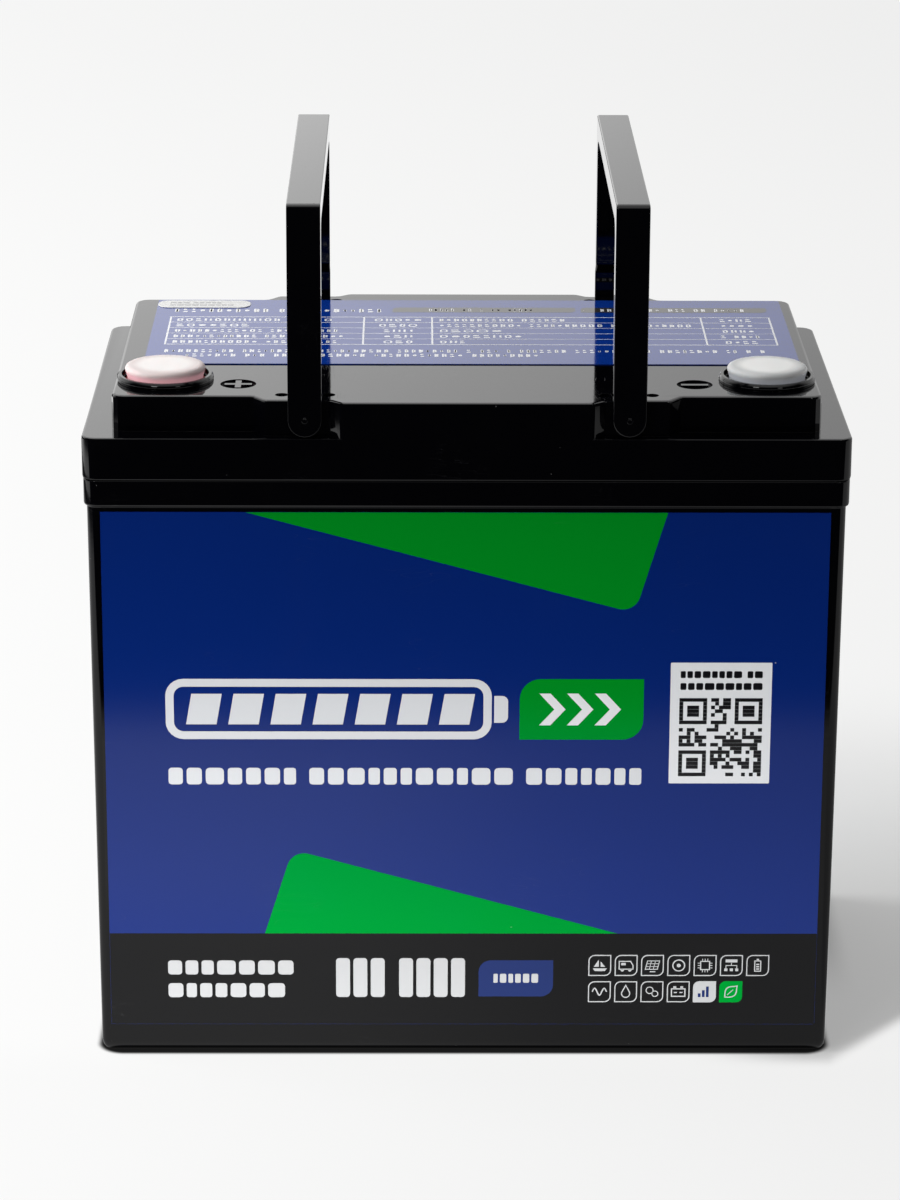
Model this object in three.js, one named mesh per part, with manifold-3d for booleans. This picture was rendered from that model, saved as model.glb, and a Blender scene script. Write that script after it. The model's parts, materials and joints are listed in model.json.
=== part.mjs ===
// Sealed 12 V lithium iron phosphate deep cycle battery with two swing handles.
// Millimetres, +Z up, +X to the right seen from the front, the front face looks along -Y.
// The origin is the centre of the footprint, on the face the battery stands on.
// Inside the group, heights are measured from a datum plane BASE_DEPTH above that face.
import * as THREE from "three";
import { mergeVertices } from "three/addons/utils/BufferGeometryUtils.js";
import Module from "manifold-3d";

const wasm = await Module();
wasm.setup();

// ---------------------------------------------------------------- driving dimensions
// HALF_X is half a length along X, _T a thickness, _R a radius, _Z a height.
const BASE_DEPTH = 0.8;
const LENGTH = 229; // over the lid skirt
const WIDTH = 138;
const LID_HALF_X = LENGTH / 2;
const HALF_DIFFERENCE = (LENGTH - WIDTH) / 2; // half length minus half width
const CORNER_R = 4.5; // vertical corner of the lid skirt
const LID_TOP = 208.5; // raised platform of the lid
const LEDGE_Z = 197.6; // ledge around the platform
const SEAM_Z = 184.6; // joint between lid skirt and case collar
const WALL = 3.0;
const FLOOR = 3.0;

const SETBACK_POCKET = 65.9; // half width of the platform behind the handle tongues

const PIVOT_X = 48.1;
const PIVOT_Z = 203.0;

const TERMINAL_X = 90.7;
const TERMINAL_Y = -40.8;
const WELL_Z = 206.3; // floor of the terminal well
const TERMINALS = [
  { name: "positive", side: -1, seal: "red" },
  { name: "negative", side: 1, seal: "darkSeal" },
];

const CELL_T = 50.1; // along X
const CELL_W = 160; // along Z
const CELL_H = 118.5; // along Y
const CELL_PITCH = 51.2;
const CELL_BOTTOM = 6.4;
const CELL_TOP = CELL_BOTTOM + CELL_W;
const CELL_MID_Z = CELL_BOTTOM + CELL_W / 2;
const CELL_BACK_Y = 62.2; // blind end of the cells
const CELL_X = [-1.5, -0.5, 0.5, 1.5].map((step) => step * CELL_PITCH);
const PLATE_T = 1.7; // cover plate of a cell
const PLATE_Y = CELL_BACK_Y - CELL_H; // front face of the cover plates
const POST_Y = PLATE_Y - 2.3; // front face of the posts
const POST_LOW_Z = CELL_MID_Z - 60;
const POST_HIGH_Z = CELL_MID_Z + 60;

// ---------------------------------------------------------------- helpers
// Closed manifold from a geometry: vertices welded, flat triangles dropped, faces turned outwards.
function solid(geometry) {
  const soup = geometry.index ? geometry.toNonIndexed() : geometry;
  const bare = new THREE.BufferGeometry().setAttribute("position", soup.getAttribute("position"));
  const merged = mergeVertices(bare, 1e-4);
  const positions = merged.attributes.position.array;
  const indices = merged.index.array;
  const vertex = (index) => new THREE.Vector3().fromArray(positions, index * 3);
  const triangles = [];
  let volume = 0;
  for (let i = 0; i < indices.length; i += 3) {
    const [a, b, c] = indices.subarray(i, i + 3);
    if (a === b || b === c || a === c) continue;
    triangles.push(a, b, c);
    volume += vertex(a).dot(vertex(b).cross(vertex(c))) / 6;
  }
  if (volume < 0) {
    for (let i = 0; i < triangles.length; i += 3) {
      [triangles[i + 1], triangles[i + 2]] = [triangles[i + 2], triangles[i + 1]];
    }
  }
  return new wasm.Manifold(
    new wasm.Mesh({
      numProp: 3,
      vertProperties: new Float32Array(positions),
      triVerts: new Uint32Array(triangles),
    }),
  );
}

function geometryOf(manifold) {
  const mesh = manifold.getMesh();
  const positions = new Float32Array(mesh.numVert * 3);
  for (let i = 0; i < mesh.numVert; i++) {
    const start = i * mesh.numProp;
    positions.set(mesh.vertProperties.subarray(start, start + 3), i * 3);
  }
  const geometry = new THREE.BufferGeometry()
    .setAttribute("position", new THREE.BufferAttribute(positions, 3))
    .setIndex(new THREE.BufferAttribute(new Uint32Array(mesh.triVerts), 1));
  geometry.computeVertexNormals();
  return geometry;
}

const join = (...solids) => solids.reduce((a, b) => a.add(b));
const cut = (body, ...tools) => tools.reduce((a, b) => a.subtract(b), body);
const points = (pairs) => pairs.map(([x, y]) => new THREE.Vector2(x, y));

// A span is a pair of coordinates on one axis, in either order.
const middle = ([a, b]) => (a + b) / 2;
const extent = ([a, b]) => Math.abs(b - a);
const around = (centre, half) => [centre - half, centre + half];

// Rounded rectangle about the origin, counter-clockwise, with segments to each corner.
function rounded(halfX, halfY, radius, segments) {
  const corners = [
    [halfX - radius, halfY - radius, 0],
    [-halfX + radius, halfY - radius, 90],
    [-halfX + radius, -halfY + radius, 180],
    [halfX - radius, -halfY + radius, 270],
  ];
  const outline = [];
  for (const [x, y, startAngle] of corners) {
    for (let i = 0; i <= segments; i++) {
      const angle = ((startAngle + (90 * i) / segments) * Math.PI) / 180;
      outline.push([x + radius * Math.cos(angle), y + radius * Math.sin(angle)]);
    }
  }
  return points(outline);
}

// An outline moved inwards, corner by corner; sharp corners move by a limited amount.
function inset(outline, distance) {
  const count = outline.length;
  return outline.map((point, i) => {
    const before = outline[(i + count - 1) % count];
    const after = outline[(i + 1) % count];
    const edgeIn = point.clone().sub(before).normalize();
    const edgeOut = after.clone().sub(point).normalize();
    const normalIn = new THREE.Vector2(-edgeIn.y, edgeIn.x);
    const normalOut = new THREE.Vector2(-edgeOut.y, edgeOut.x);
    const mitre = normalIn.clone().add(normalOut).normalize();
    return point.clone().addScaledVector(mitre, distance / Math.max(0.4, mitre.dot(normalIn)));
  });
}

// Skin over a stack of outlines with equal point counts: rings is [[outline, z], ...] upwards.
function loft(rings) {
  const count = rings[0][0].length;
  const positions = [];
  const at = (ring, i) => {
    const [outline, z] = rings[ring];
    const point = outline[i % count];
    return [point.x, point.y, z];
  };
  for (let k = 0; k + 1 < rings.length; k++) {
    for (let i = 0; i < count; i++) {
      const [a, b, c, d] = [at(k, i), at(k, i + 1), at(k + 1, i + 1), at(k + 1, i)];
      positions.push(...a, ...b, ...c, ...a, ...c, ...d);
    }
  }
  for (const k of [0, rings.length - 1]) {
    for (const triangle of THREE.ShapeUtils.triangulateShape(rings[k][0], [])) {
      const [a, b, c] = triangle.map((i) => at(k, i));
      if (k === 0) positions.push(...a, ...c, ...b);
      else positions.push(...a, ...b, ...c);
    }
  }
  const attribute = new THREE.Float32BufferAttribute(positions, 3);
  return solid(new THREE.BufferGeometry().setAttribute("position", attribute));
}

// Outline whose sides stay at a constant distance from the lid skirt.
function ringAt(halfX, segments = 4) {
  const radius = Math.max(1.2, CORNER_R - (LID_HALF_X - halfX));
  return rounded(halfX, halfX - HALF_DIFFERENCE, radius, segments);
}

function prism(halfX, [z0, z1], segments) {
  const outline = ringAt(halfX, segments);
  return loft([[outline, z0], [outline, z1]]);
}

function box(...spans) {
  const geometry = new THREE.BoxGeometry(...spans.map(extent));
  geometry.translate(...spans.map(middle));
  return solid(geometry);
}

// Axis indices of outline x, outline y and depth, for an extrusion along the key.
const EXTRUDE_AXES = { z: [0, 1, 2], x: [1, 2, 0], y: [2, 0, 1] };

// Outline pushed along an axis, half the depth to each side, then moved to the centre.
function extrude(axis, outline, depth, centre) {
  const geometry = new THREE.ExtrudeGeometry(new THREE.Shape(outline), {
    depth,
    bevelEnabled: false,
  });
  geometry.translate(0, 0, -depth / 2);
  const basis = EXTRUDE_AXES[axis].map((i) => new THREE.Vector3().setComponent(i, 1));
  geometry.applyMatrix4(new THREE.Matrix4().makeBasis(...basis));
  geometry.translate(...centre);
  return solid(geometry);
}

// Box over X, Y and Z spans with its edges along one axis rounded.
function softBox(spans, radius, axis, segments) {
  const [width, height, depth] = EXTRUDE_AXES[axis].map((i) => extent(spans[i]));
  const outline = rounded(width / 2, height / 2, radius, segments);
  return extrude(axis, outline, depth, spans.map(middle));
}

function cylinderX(y, z, span, radius, segments) {
  const geometry = new THREE.CylinderGeometry(radius, radius, extent(span), segments);
  geometry.rotateZ(Math.PI / 2);
  geometry.translate(middle(span), y, z);
  return solid(geometry);
}

function cylinderY(x, z, span, radius, segments) {
  const geometry = new THREE.CylinderGeometry(radius, radius, extent(span), segments);
  geometry.translate(x, middle(span), z);
  return solid(geometry);
}

function cylinderZ(x, y, span, radius, segments) {
  const geometry = new THREE.CylinderGeometry(radius, radius, extent(span), segments);
  geometry.rotateX(Math.PI / 2);
  geometry.translate(x, y, middle(span));
  return solid(geometry);
}

// Solid of revolution about a vertical axis: profile is [[radius, z], ...].
function lathe(x, y, profile, segments) {
  const geometry = new THREE.LatheGeometry(points(profile), segments);
  geometry.rotateX(Math.PI / 2);
  geometry.translate(x, y, 0);
  return solid(geometry);
}

// Round cable along a curve through [x, y, z] stations.
function cable(stations, radius, sides = 8, steps = 18) {
  const extrudePath = new THREE.CatmullRomCurve3(
    stations.map((station) => new THREE.Vector3(...station)),
    false,
    "catmullrom",
    0.5,
  );
  const section = Array.from({ length: sides }, (_, i) => {
    const angle = (2 * Math.PI * i) / sides;
    return [radius * Math.cos(angle), radius * Math.sin(angle)];
  });
  const shape = new THREE.Shape(points(section));
  return solid(
    new THREE.ExtrudeGeometry(shape, { steps, extrudePath, bevelEnabled: false }),
  );
}

// ---------------------------------------------------------------- group and materials
const battery = new THREE.Group();
battery.position.z = BASE_DEPTH;

const finishes = {
  black: { color: 0x0b0b0d, roughness: 0.12, metalness: 0 },
  label: { color: 0x152f86, roughness: 0.2, metalness: 0 },
  paper: { color: 0xf1f1ee, roughness: 0.5, metalness: 0 },
  cap: { color: 0xe9e6e2, roughness: 0.35, metalness: 0 },
  red: { color: 0xb3202a, roughness: 0.45, metalness: 0 },
  darkSeal: { color: 0x1c1d20, roughness: 0.5, metalness: 0 },
  brass: { color: 0xc9a653, roughness: 0.28, metalness: 1 },
  glue: { color: 0x2a2a2c, roughness: 0.6, metalness: 0 },
  wrap: { color: 0x2a62b8, roughness: 0.35, metalness: 0 },
  aluminium: { color: 0xc9ccd0, roughness: 0.35, metalness: 1 },
  copper: { color: 0xc9794f, roughness: 0.3, metalness: 1 },
  tin: { color: 0xbfc3c6, roughness: 0.32, metalness: 1 },
  board: { color: 0xa8b86a, roughness: 0.6, metalness: 0 },
  foam: { color: 0x2c2d30, roughness: 0.9, metalness: 0 },
  strap: { color: 0x1f6a3a, roughness: 0.5, metalness: 0 },
  pcb: { color: 0x0f5a34, roughness: 0.4, metalness: 0 },
  white: { color: 0xe6e4da, roughness: 0.45, metalness: 0 },
  steel: { color: 0xa9adb2, roughness: 0.3, metalness: 1 },
  redCable: { color: 0xb1161b, roughness: 0.5, metalness: 0 },
  blackCable: { color: 0x18181a, roughness: 0.5, metalness: 0 },
};
const materials = Object.fromEntries(
  Object.entries(finishes).map(([name, finish]) => [name, new THREE.MeshStandardMaterial(finish)]),
);

function add(name, manifold, finish) {
  const mesh = new THREE.Mesh(geometryOf(manifold), materials[finish]);
  mesh.name = name;
  battery.add(mesh);
}

// ---------------------------------------------------------------- case
const COLLAR_Z = 176.3; // underside of the case collar
const COLLAR_HALF_X = 114.25;
const FOOT_R = 4.0; // rounding along the bottom edge
const CASE_TOP_HALF_X = 113.3; // case wall under the collar
const CASE_BOTTOM_HALF_X = 112.35; // at the datum; the difference is the mould draft
const UPSTAND_TOP = 191.5; // upstand of the case inside the lid
const UPSTAND_HALF_X = 112.2;
const CAVITY_HALF_X = 110.3;
const CAVITY_CHAMFER = 1.6;

const caseHalfX = (z) =>
  CASE_BOTTOM_HALF_X + ((CASE_TOP_HALF_X - CASE_BOTTOM_HALF_X) * z) / COLLAR_Z;

function makeCase() {
  const rings = [];
  for (let i = 0; i <= 4; i++) {
    const angle = (Math.PI / 2) * (i / 4);
    const z = FOOT_R * (1 - Math.cos(angle)) - BASE_DEPTH;
    rings.push([ringAt(caseHalfX(z) - FOOT_R * (1 - Math.sin(angle))), z]);
  }
  rings.push(
    [ringAt(CASE_TOP_HALF_X), COLLAR_Z - 0.15],
    [ringAt(COLLAR_HALF_X - 0.4), COLLAR_Z],
    [ringAt(COLLAR_HALF_X - 0.02), COLLAR_Z + 0.45],
    [ringAt(COLLAR_HALF_X), SEAM_Z - 0.2],
    [ringAt(UPSTAND_HALF_X), SEAM_Z - 0.15],
    [ringAt(UPSTAND_HALF_X), UPSTAND_TOP],
  );
  const floorHalfX = caseHalfX(FLOOR) - WALL;
  const cavity = loft([
    [ringAt(floorHalfX - CAVITY_CHAMFER), FLOOR],
    [ringAt(floorHalfX), FLOOR + CAVITY_CHAMFER],
    [ringAt(CAVITY_HALF_X), COLLAR_Z],
    [ringAt(CAVITY_HALF_X), UPSTAND_TOP + 5],
  ]);
  return cut(loft(rings), cavity);
}
add("case", makeCase(), "black");

// ---------------------------------------------------------------- lid
const SETBACK_END = 61.0; // half width of the platform beside the terminals
const PLATFORM_HALF_X = 105.8;
const RING_R = 14.6; // raised ring around a terminal
const WELL_R = 12.95;
const RING_TOP = 210.4;
const SIGN_X = 68.5;
const SIGN_Y = -46.8;

// One quarter of the platform outline as [x, y], from the right end to the back.
const platformQuarter = [
  [PLATFORM_HALF_X, 57.0],
  [PLATFORM_HALF_X - 0.54, 59.0],
  [PLATFORM_HALF_X - 2.0, 60.46],
  [PLATFORM_HALF_X - 4.0, SETBACK_END],
  [64.6, SETBACK_END],
  [63.5, 61.3],
  [62.6, 62.3],
  [60.9, 64.6],
  [60.0, 65.6],
  [58.8, SETBACK_POCKET],
  [41.6, SETBACK_POCKET],
  [40.4, 66.2],
  [37.8, 68.5],
  [36.4, WIDTH / 2],
];
function platformOutline() {
  const reversed = [...platformQuarter].reverse();
  return points([
    ...platformQuarter,
    ...reversed.map(([x, y]) => [-x, y]),
    ...platformQuarter.map(([x, y]) => [-x, -y]),
    ...reversed.map(([x, y]) => [x, -y]),
  ]);
}

// Outer form: skirt with the ledge on top, and the raised platform.
function lidShell() {
  const skirt = loft([
    [ringAt(LID_HALF_X - 0.15), SEAM_Z + 0.15],
    [ringAt(LID_HALF_X), SEAM_Z + 0.6],
    [ringAt(LID_HALF_X), LEDGE_Z - 0.8],
    [ringAt(LID_HALF_X - 0.23), LEDGE_Z - 0.23],
    [ringAt(LID_HALF_X - 0.8), LEDGE_Z],
  ]);
  const outline = platformOutline();
  const platform = loft([
    [outline, LEDGE_Z - 3],
    [outline, LID_TOP - 1.1],
    [inset(outline, 0.32), LID_TOP - 0.32],
    [inset(outline, 1.1), LID_TOP],
  ]);
  return join(skirt, platform);
}

// Room inside: under the ledge, a groove for the case upstand, under the platform,
// and the middle bay that runs out towards the front and back faces.
function lidRooms() {
  const lowSpan = [SEAM_Z - 5, LEDGE_Z - WALL];
  const highSpan = [LEDGE_Z - 6, LID_TOP - WALL];
  return [
    prism(107.9, lowSpan),
    cut(prism(112.5, lowSpan), prism(109.9, [187, LEDGE_Z + 1])),
    join(
      box(around(0, 102.2), around(0, 57.9), highSpan),
      box(around(0, 59), around(0, 62.4), highSpan),
    ),
    box(around(0, 33.2), around(0, 66), [LEDGE_Z, LID_TOP - WALL]),
  ];
}

// Raised terminal ring on a boss, with the well and the hole for the insert.
function addTerminalSeat(lid, x) {
  const ring = lathe(x, TERMINAL_Y, [
    [0, LID_TOP - 4],
    [RING_R - 0.2, LID_TOP - 4],
    [RING_R - 0.2, LID_TOP + 0.1],
    [RING_R, LID_TOP + 0.3],
    [RING_R, LID_TOP + 0.7],
    [RING_R - 0.2, LID_TOP + 0.85],
    [RING_R - 0.2, LID_TOP + 0.95],
    [RING_R - 0.05, LID_TOP + 1.1],
    [RING_R - 0.2, RING_TOP - 0.4],
    [RING_R - 0.6, RING_TOP],
    [WELL_R + 0.2, RING_TOP],
    [WELL_R + 0.2, LID_TOP - 0.5],
    [0, LID_TOP - 0.5],
  ], 40);
  const boss = cylinderZ(x, TERMINAL_Y, [199.5, LID_TOP - 1], 12.6, 28);
  return cut(
    join(lid, ring, boss),
    cylinderZ(x, TERMINAL_Y, [WELL_Z, RING_TOP + 2], WELL_R, 40),
    cylinderZ(x, TERMINAL_Y, [190, RING_TOP + 2], 8.4, 28),
  );
}

// Pivot boss inside a handle tongue, its bearing hole, and two small holes from above.
function addPivotSeat(lid, x, sideY) {
  const boss = box(
    around(x, 9.4),
    [sideY * 56.6, sideY * (SETBACK_POCKET - 1)],
    [LEDGE_Z - WALL, LID_TOP - 1.2],
  );
  const smallHoles = [-7, 7].map((offset) =>
    cylinderZ(x + offset, sideY * 59.4, [LID_TOP - 1.6, LID_TOP + 2], 2.0, 16),
  );
  const bearing = cylinderY(x, PIVOT_Z, [sideY * 60.3, sideY * 75], 3.3, 28);
  return cut(join(lid, boss), bearing, ...smallHoles);
}

// Round recess that leaves a raised plus or minus sign standing.
function signRecess(x, isPlus) {
  const [long, short, barZ] = [4.1, 0.9, [200, 215]];
  const bars = [box(around(x, long), around(SIGN_Y, short), barZ)];
  if (isPlus) bars.push(box(around(x, short), around(SIGN_Y, long), barZ));
  return cut(cylinderZ(x, SIGN_Y, [LID_TOP - 1.0, LID_TOP + 3], 5.4, 28), join(...bars));
}

function makeLid() {
  let lid = cut(lidShell(), ...lidRooms());
  for (const sideX of [-1, 1]) {
    lid = addTerminalSeat(lid, sideX * TERMINAL_X);
    for (const sideY of [-1, 1]) lid = addPivotSeat(lid, sideX * PIVOT_X, sideY);
  }
  return cut(lid, signRecess(-SIGN_X, true), signRecess(SIGN_X, false));
}
add("lid", makeLid(), "black");
add(
  "lid_adhesive_bead",
  cut(prism(112.1, [191.8, 194.2], 3), prism(110.4, [190, 196], 3)),
  "glue",
);

// ---------------------------------------------------------------- handles
const HANDLE_TOP = 268.1;
const HANDLE_W = 10.0;
const HANDLE_OUT_Y = 68.7; // outer face of a leg
const LEG_IN_Y = HANDLE_OUT_Y - 7.2; // inner face of a leg
const TONGUE_IN_Y = HANDLE_OUT_Y - 2.5; // inner face of the thin end beside the pivot
const BAR_UNDER_Z = HANDLE_TOP - 6.8;
const HANDLE_FOOT_Z = PIVOT_Z - 5.3;
const TAPER_LOW_Z = PIVOT_Z + 13.4; // where a leg starts to thicken above its tongue
const TAPER_HIGH_Z = PIVOT_Z + 17.4;
const PIN_R = 3.0;

// Back half of the handle seen from the side, as [y, z] from top middle to under the bar.
const handleHalf = [
  [0, HANDLE_TOP],
  [HANDLE_OUT_Y - 1.8, HANDLE_TOP],
  [HANDLE_OUT_Y - 0.55, HANDLE_TOP - 0.55],
  [HANDLE_OUT_Y, HANDLE_TOP - 1.8],
  [HANDLE_OUT_Y, HANDLE_FOOT_Z],
  [TONGUE_IN_Y, HANDLE_FOOT_Z],
  [TONGUE_IN_Y, TAPER_LOW_Z],
  [TONGUE_IN_Y - 0.7, TAPER_LOW_Z + 0.9],
  [LEG_IN_Y + 0.7, TAPER_HIGH_Z - 0.9],
  [LEG_IN_Y, TAPER_HIGH_Z],
  [LEG_IN_Y, BAR_UNDER_Z - 4.0],
  [LEG_IN_Y - 1.2, BAR_UNDER_Z - 1.2],
  [LEG_IN_Y - 4.0, BAR_UNDER_Z],
  [0, BAR_UNDER_Z],
];

// The side outline limited by the front outline, with a pin inwards from each tongue.
function makeHandle(x) {
  const frontHalf = handleHalf.slice(1, -1).reverse().map(([y, z]) => [-y, z]);
  const side = extrude("x", points([...handleHalf, ...frontHalf]), HANDLE_W + 4, [x, 0, 0]);
  // Front view as [z, x]: parallel sides with a half-round end at the pivot.
  const radius = HANDLE_W / 2;
  const front = [];
  for (let i = 0; i <= 10; i++) {
    const angle = Math.PI + (Math.PI * i) / 10;
    front.push([PIVOT_Z - 0.15 + radius * Math.sin(angle), x + radius * Math.cos(angle)]);
  }
  front.push([280, x + radius], [280, x - radius]);
  const pins = [-1, 1].map((sideY) =>
    cylinderY(x, PIVOT_Z, [sideY * (TONGUE_IN_Y + 0.5), sideY * 61.0], PIN_R, 24),
  );
  return join(side.intersect(extrude("y", points(front), 160, [0, 0, 0])), ...pins);
}
add("handle_left", makeHandle(-PIVOT_X), "black");
add("handle_right", makeHandle(PIVOT_X), "black");

// ---------------------------------------------------------------- terminals and their caps
const INSERT_TOP = 208.4;
const CAP_R = 12.1;
const CAP_TOP = 213.2;
const SEAT_Z = WELL_Z + 0.2; // underside of the insert flange and of the seal

// Profiles are [radius, z]. The insert is a flanged bushing, bored blind from both ends.
const insertProfile = [
  [0, 201.6],
  [3.35, 201.6],
  [3.35, INSERT_TOP - 0.6],
  [3.95, INSERT_TOP],
  [9.3, INSERT_TOP],
  [9.8, INSERT_TOP - 0.5],
  [9.8, SEAT_Z],
  [8.1, SEAT_Z],
  [8.1, 196.0],
  [2.5, 196.0],
  [2.5, 199.8],
  [0, 199.8],
];
const sealProfile = [
  [10.0, SEAT_Z],
  [12.6, SEAT_Z],
  [12.6, 208.0],
  [12.2, 208.3],
  [10.4, 208.3],
  [10.0, 208.0],
  [10.0, SEAT_Z],
];
const capProfile = [
  [0, 202.6],
  [2.6, 202.6],
  [3.0, 203.2],
  [3.0, 208.7],
  [10.4, 208.7],
  [10.6, 208.6],
  [CAP_R - 0.75, 208.6],
  [CAP_R - 0.6, 209.8],
  [CAP_R - 0.15, 211.3],
  [CAP_R, CAP_TOP - 1.3],
  [CAP_R - 0.12, CAP_TOP - 0.8],
  [CAP_R - 0.42, CAP_TOP - 0.4],
  [CAP_R - 0.95, CAP_TOP - 0.12],
  [CAP_R - 1.9, CAP_TOP],
  [0, CAP_TOP],
];
for (const { name, side, seal } of TERMINALS) {
  const x = side * TERMINAL_X;
  add(name + "_terminal_insert", lathe(x, TERMINAL_Y, insertProfile, 28), "brass");
  add(name + "_terminal_seal", lathe(x, TERMINAL_Y, sealProfile, 28), seal);
  add(name + "_terminal_cap", lathe(x, TERMINAL_Y, capProfile, 36), "cap");
}

// ---------------------------------------------------------------- labels
const LABEL_T = 0.25;
const LABEL_Z = [9.0, 174.7];
const LABEL_HALF_X = 108.9;
const LABEL_SHIFT = 0.3; // the face labels sit a little towards their own left end
const SKIN_GAP = 0.05; // adhesive film under a label

// Label that follows the drafted case wall; side is -1 at the front, 1 at the back.
function faceLabel(side) {
  const at = (z, out) => [side * (caseHalfX(z) - HALF_DIFFERENCE + SKIN_GAP + out), z];
  const [low, high] = LABEL_Z;
  const section = points([at(low, 0), at(low, LABEL_T), at(high, LABEL_T), at(high, 0)]);
  return extrude("x", section, 2 * LABEL_HALF_X, [side * LABEL_SHIFT, 0, 0]);
}
add("front_label", faceLabel(-1), "label");
add("rear_label", faceLabel(1), "label");

const topLabelZ = [LID_TOP + SKIN_GAP, LID_TOP + SKIN_GAP + LABEL_T];
add("top_label", softBox([[-98.4, 102.3], [-23.6, 58.6], topLabelZ], 1.0, "z", 2), "label");

const stickerZ = [LID_TOP + 0.35, LID_TOP + 0.5];
add("serial_sticker", softBox([[-98.2, -68.6], [47.4, 57.0], stickerZ], 3.6, "z", 4), "paper");

// ---------------------------------------------------------------- cells
function cellCan(x) {
  const spanY = [PLATE_Y + PLATE_T + 0.1, CELL_BACK_Y];
  return softBox([around(x, CELL_T / 2), spanY, [CELL_BOTTOM, CELL_TOP]], 2.0, "y", 3);
}

// Cover plate with two rectangular posts and the burst-vent recess between them.
function cellCoverPlate(x) {
  const margin = 0.6;
  const plate = softBox([
    around(x, CELL_T / 2 - margin),
    [PLATE_Y, PLATE_Y + PLATE_T],
    [CELL_BOTTOM + margin, CELL_TOP - margin],
  ], 1.8, "y", 3);
  const posts = [POST_LOW_Z, POST_HIGH_Z].map((z) =>
    softBox([around(x, 11), [POST_Y, PLATE_Y + 0.3], around(z, 9)], 1.5, "y", 2),
  );
  const ventSpans = [around(x, 6), [PLATE_Y - 1, PLATE_Y + 0.7], around(CELL_MID_Z, 12)];
  return cut(join(plate, ...posts), softBox(ventSpans, 5.8, "y", 4));
}
CELL_X.forEach((x, k) => {
  add(`cell_${k + 1}_can`, cellCan(x), "wrap");
  add(`cell_${k + 1}_cover_plate`, cellCoverPlate(x), "aluminium");
});

function cellSpacer(x) {
  return box(
    around(x, 0.4),
    [PLATE_Y + 4, CELL_BACK_Y - 2],
    [CELL_BOTTOM + 2, CELL_TOP - 2],
  );
}
for (let k = 0; k < 3; k++) {
  add(`cell_spacer_${k + 1}`, cellSpacer((CELL_X[k] + CELL_X[k + 1]) / 2), "board");
}

// ---------------------------------------------------------------- busbars
const BAR_FRONT_Y = POST_Y - 2.1;
const BAR_BACK_Y = POST_Y - 0.1;
const BAR_REACH = 10.5; // from a post centre to the edge of the strip
const BAR_HALF_W = 8.5;
const BEND = 1.4; // depth of the relief bend

// Series link: a straight strip with a shallow relief bend between the two posts.
function seriesLink(left, right, z) {
  const mid = (left + right) / 2;
  const outline = [
    [left - BAR_REACH, BAR_FRONT_Y],
    [mid - 7, BAR_FRONT_Y],
    [mid - 4, BAR_FRONT_Y + BEND],
    [mid + 4, BAR_FRONT_Y + BEND],
    [mid + 7, BAR_FRONT_Y],
    [right + BAR_REACH, BAR_FRONT_Y],
    [right + BAR_REACH, BAR_BACK_Y],
    [mid + 6.2, BAR_BACK_Y],
    [mid + 3.2, BAR_BACK_Y + BEND],
    [mid - 3.2, BAR_BACK_Y + BEND],
    [mid - 6.2, BAR_BACK_Y],
    [left - BAR_REACH, BAR_BACK_Y],
  ];
  return extrude("z", points(outline), 2 * BAR_HALF_W, [0, 0, z]);
}
[POST_LOW_Z, POST_HIGH_Z, POST_LOW_Z].forEach((z, k) =>
  add(`busbar_${k + 1}_${k + 2}`, seriesLink(CELL_X[k], CELL_X[k + 1], z), "copper"),
);

// End links rise above the cells so that the cables can be welded on.
function endLink(x) {
  const spanZ = [POST_HIGH_Z - BAR_HALF_W, 183];
  return softBox([around(x, BAR_REACH), [BAR_FRONT_Y, BAR_BACK_Y], spanZ], 2, "y", 3);
}
add("busbar_positive", endLink(CELL_X[0]), "copper");
add("busbar_negative", endLink(CELL_X[3]), "copper");

// ---------------------------------------------------------------- packing around the cells
const endFoam = (spanX) => softBox([spanX, [-52, 58], [10, 160]], 2, "x", 2);
add("end_foam_left", endFoam([-109.0, -103.0]), "foam");
add("end_foam_right", endFoam([103.0, 109.0]), "foam");

const padZ = [FLOOR + 0.2, FLOOR + 2.2];
add("bottom_foam_pad", softBox([[-105, 105], [-59, 60], padZ], 3, "z", 2), "foam");

const insulation = (spanY, spanZ) => softBox([[-102, 102], spanY, spanZ], 3, "y", 2);
add("rear_insulation_board", insulation([62.5, 63.3], [9, 165]), "board");
// The front board has a rounded window in the middle.
add(
  "front_insulation_board",
  cut(
    insulation([-62.5, -61.7], [9, 158]),
    softBox([[-9, 9], [-64, -60], [60, 112]], 6, "y", 3),
  ),
  "board",
);

const STRAP_T = 0.6;
const STRAP_IN_X = 102.1;
const STRAP_GAP_Z = 0.3; // above and below the cells

function makeStrap(y) {
  const block = (out, halfWidth) => {
    const rise = STRAP_GAP_Z + out;
    const spanZ = [CELL_BOTTOM - rise, CELL_TOP + rise];
    return softBox([around(0, STRAP_IN_X + out), around(y, halfWidth), spanZ], 2.5, "y", 3);
  };
  return cut(block(STRAP_T, 8), block(0, 9));
}
add("strap_front", makeStrap(-24), "strap");
add("strap_rear", makeStrap(36), "strap");

// ---------------------------------------------------------------- battery management unit
const TRAY_Z = CELL_TOP + 1.3;
const SINK_Z = TRAY_Z + 1.8; // underside of the heatsink
const PCB_Z = SINK_Z + 7.2; // underside of the circuit board
const BMS_X = [-66, 66];
const BMS_Y = [-36, 46];
const SCREWS = [[-61, -31], [61, -31], [-61, 41], [61, 41]]; // [x, y]
const PACK_PAD_X = 14; // cable pads on the circuit board
const CELL_PAD_X = 44;

const traySpans = [[-92, 92], [-50, 56], [TRAY_Z, TRAY_Z + 1.6]];
add("bms_tray", softBox(traySpans, 4, "z", 3), "board");

const atScrews = (span, radius, segments) =>
  SCREWS.map(([x, y]) => cylinderZ(x, y, span, radius, segments));

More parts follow.
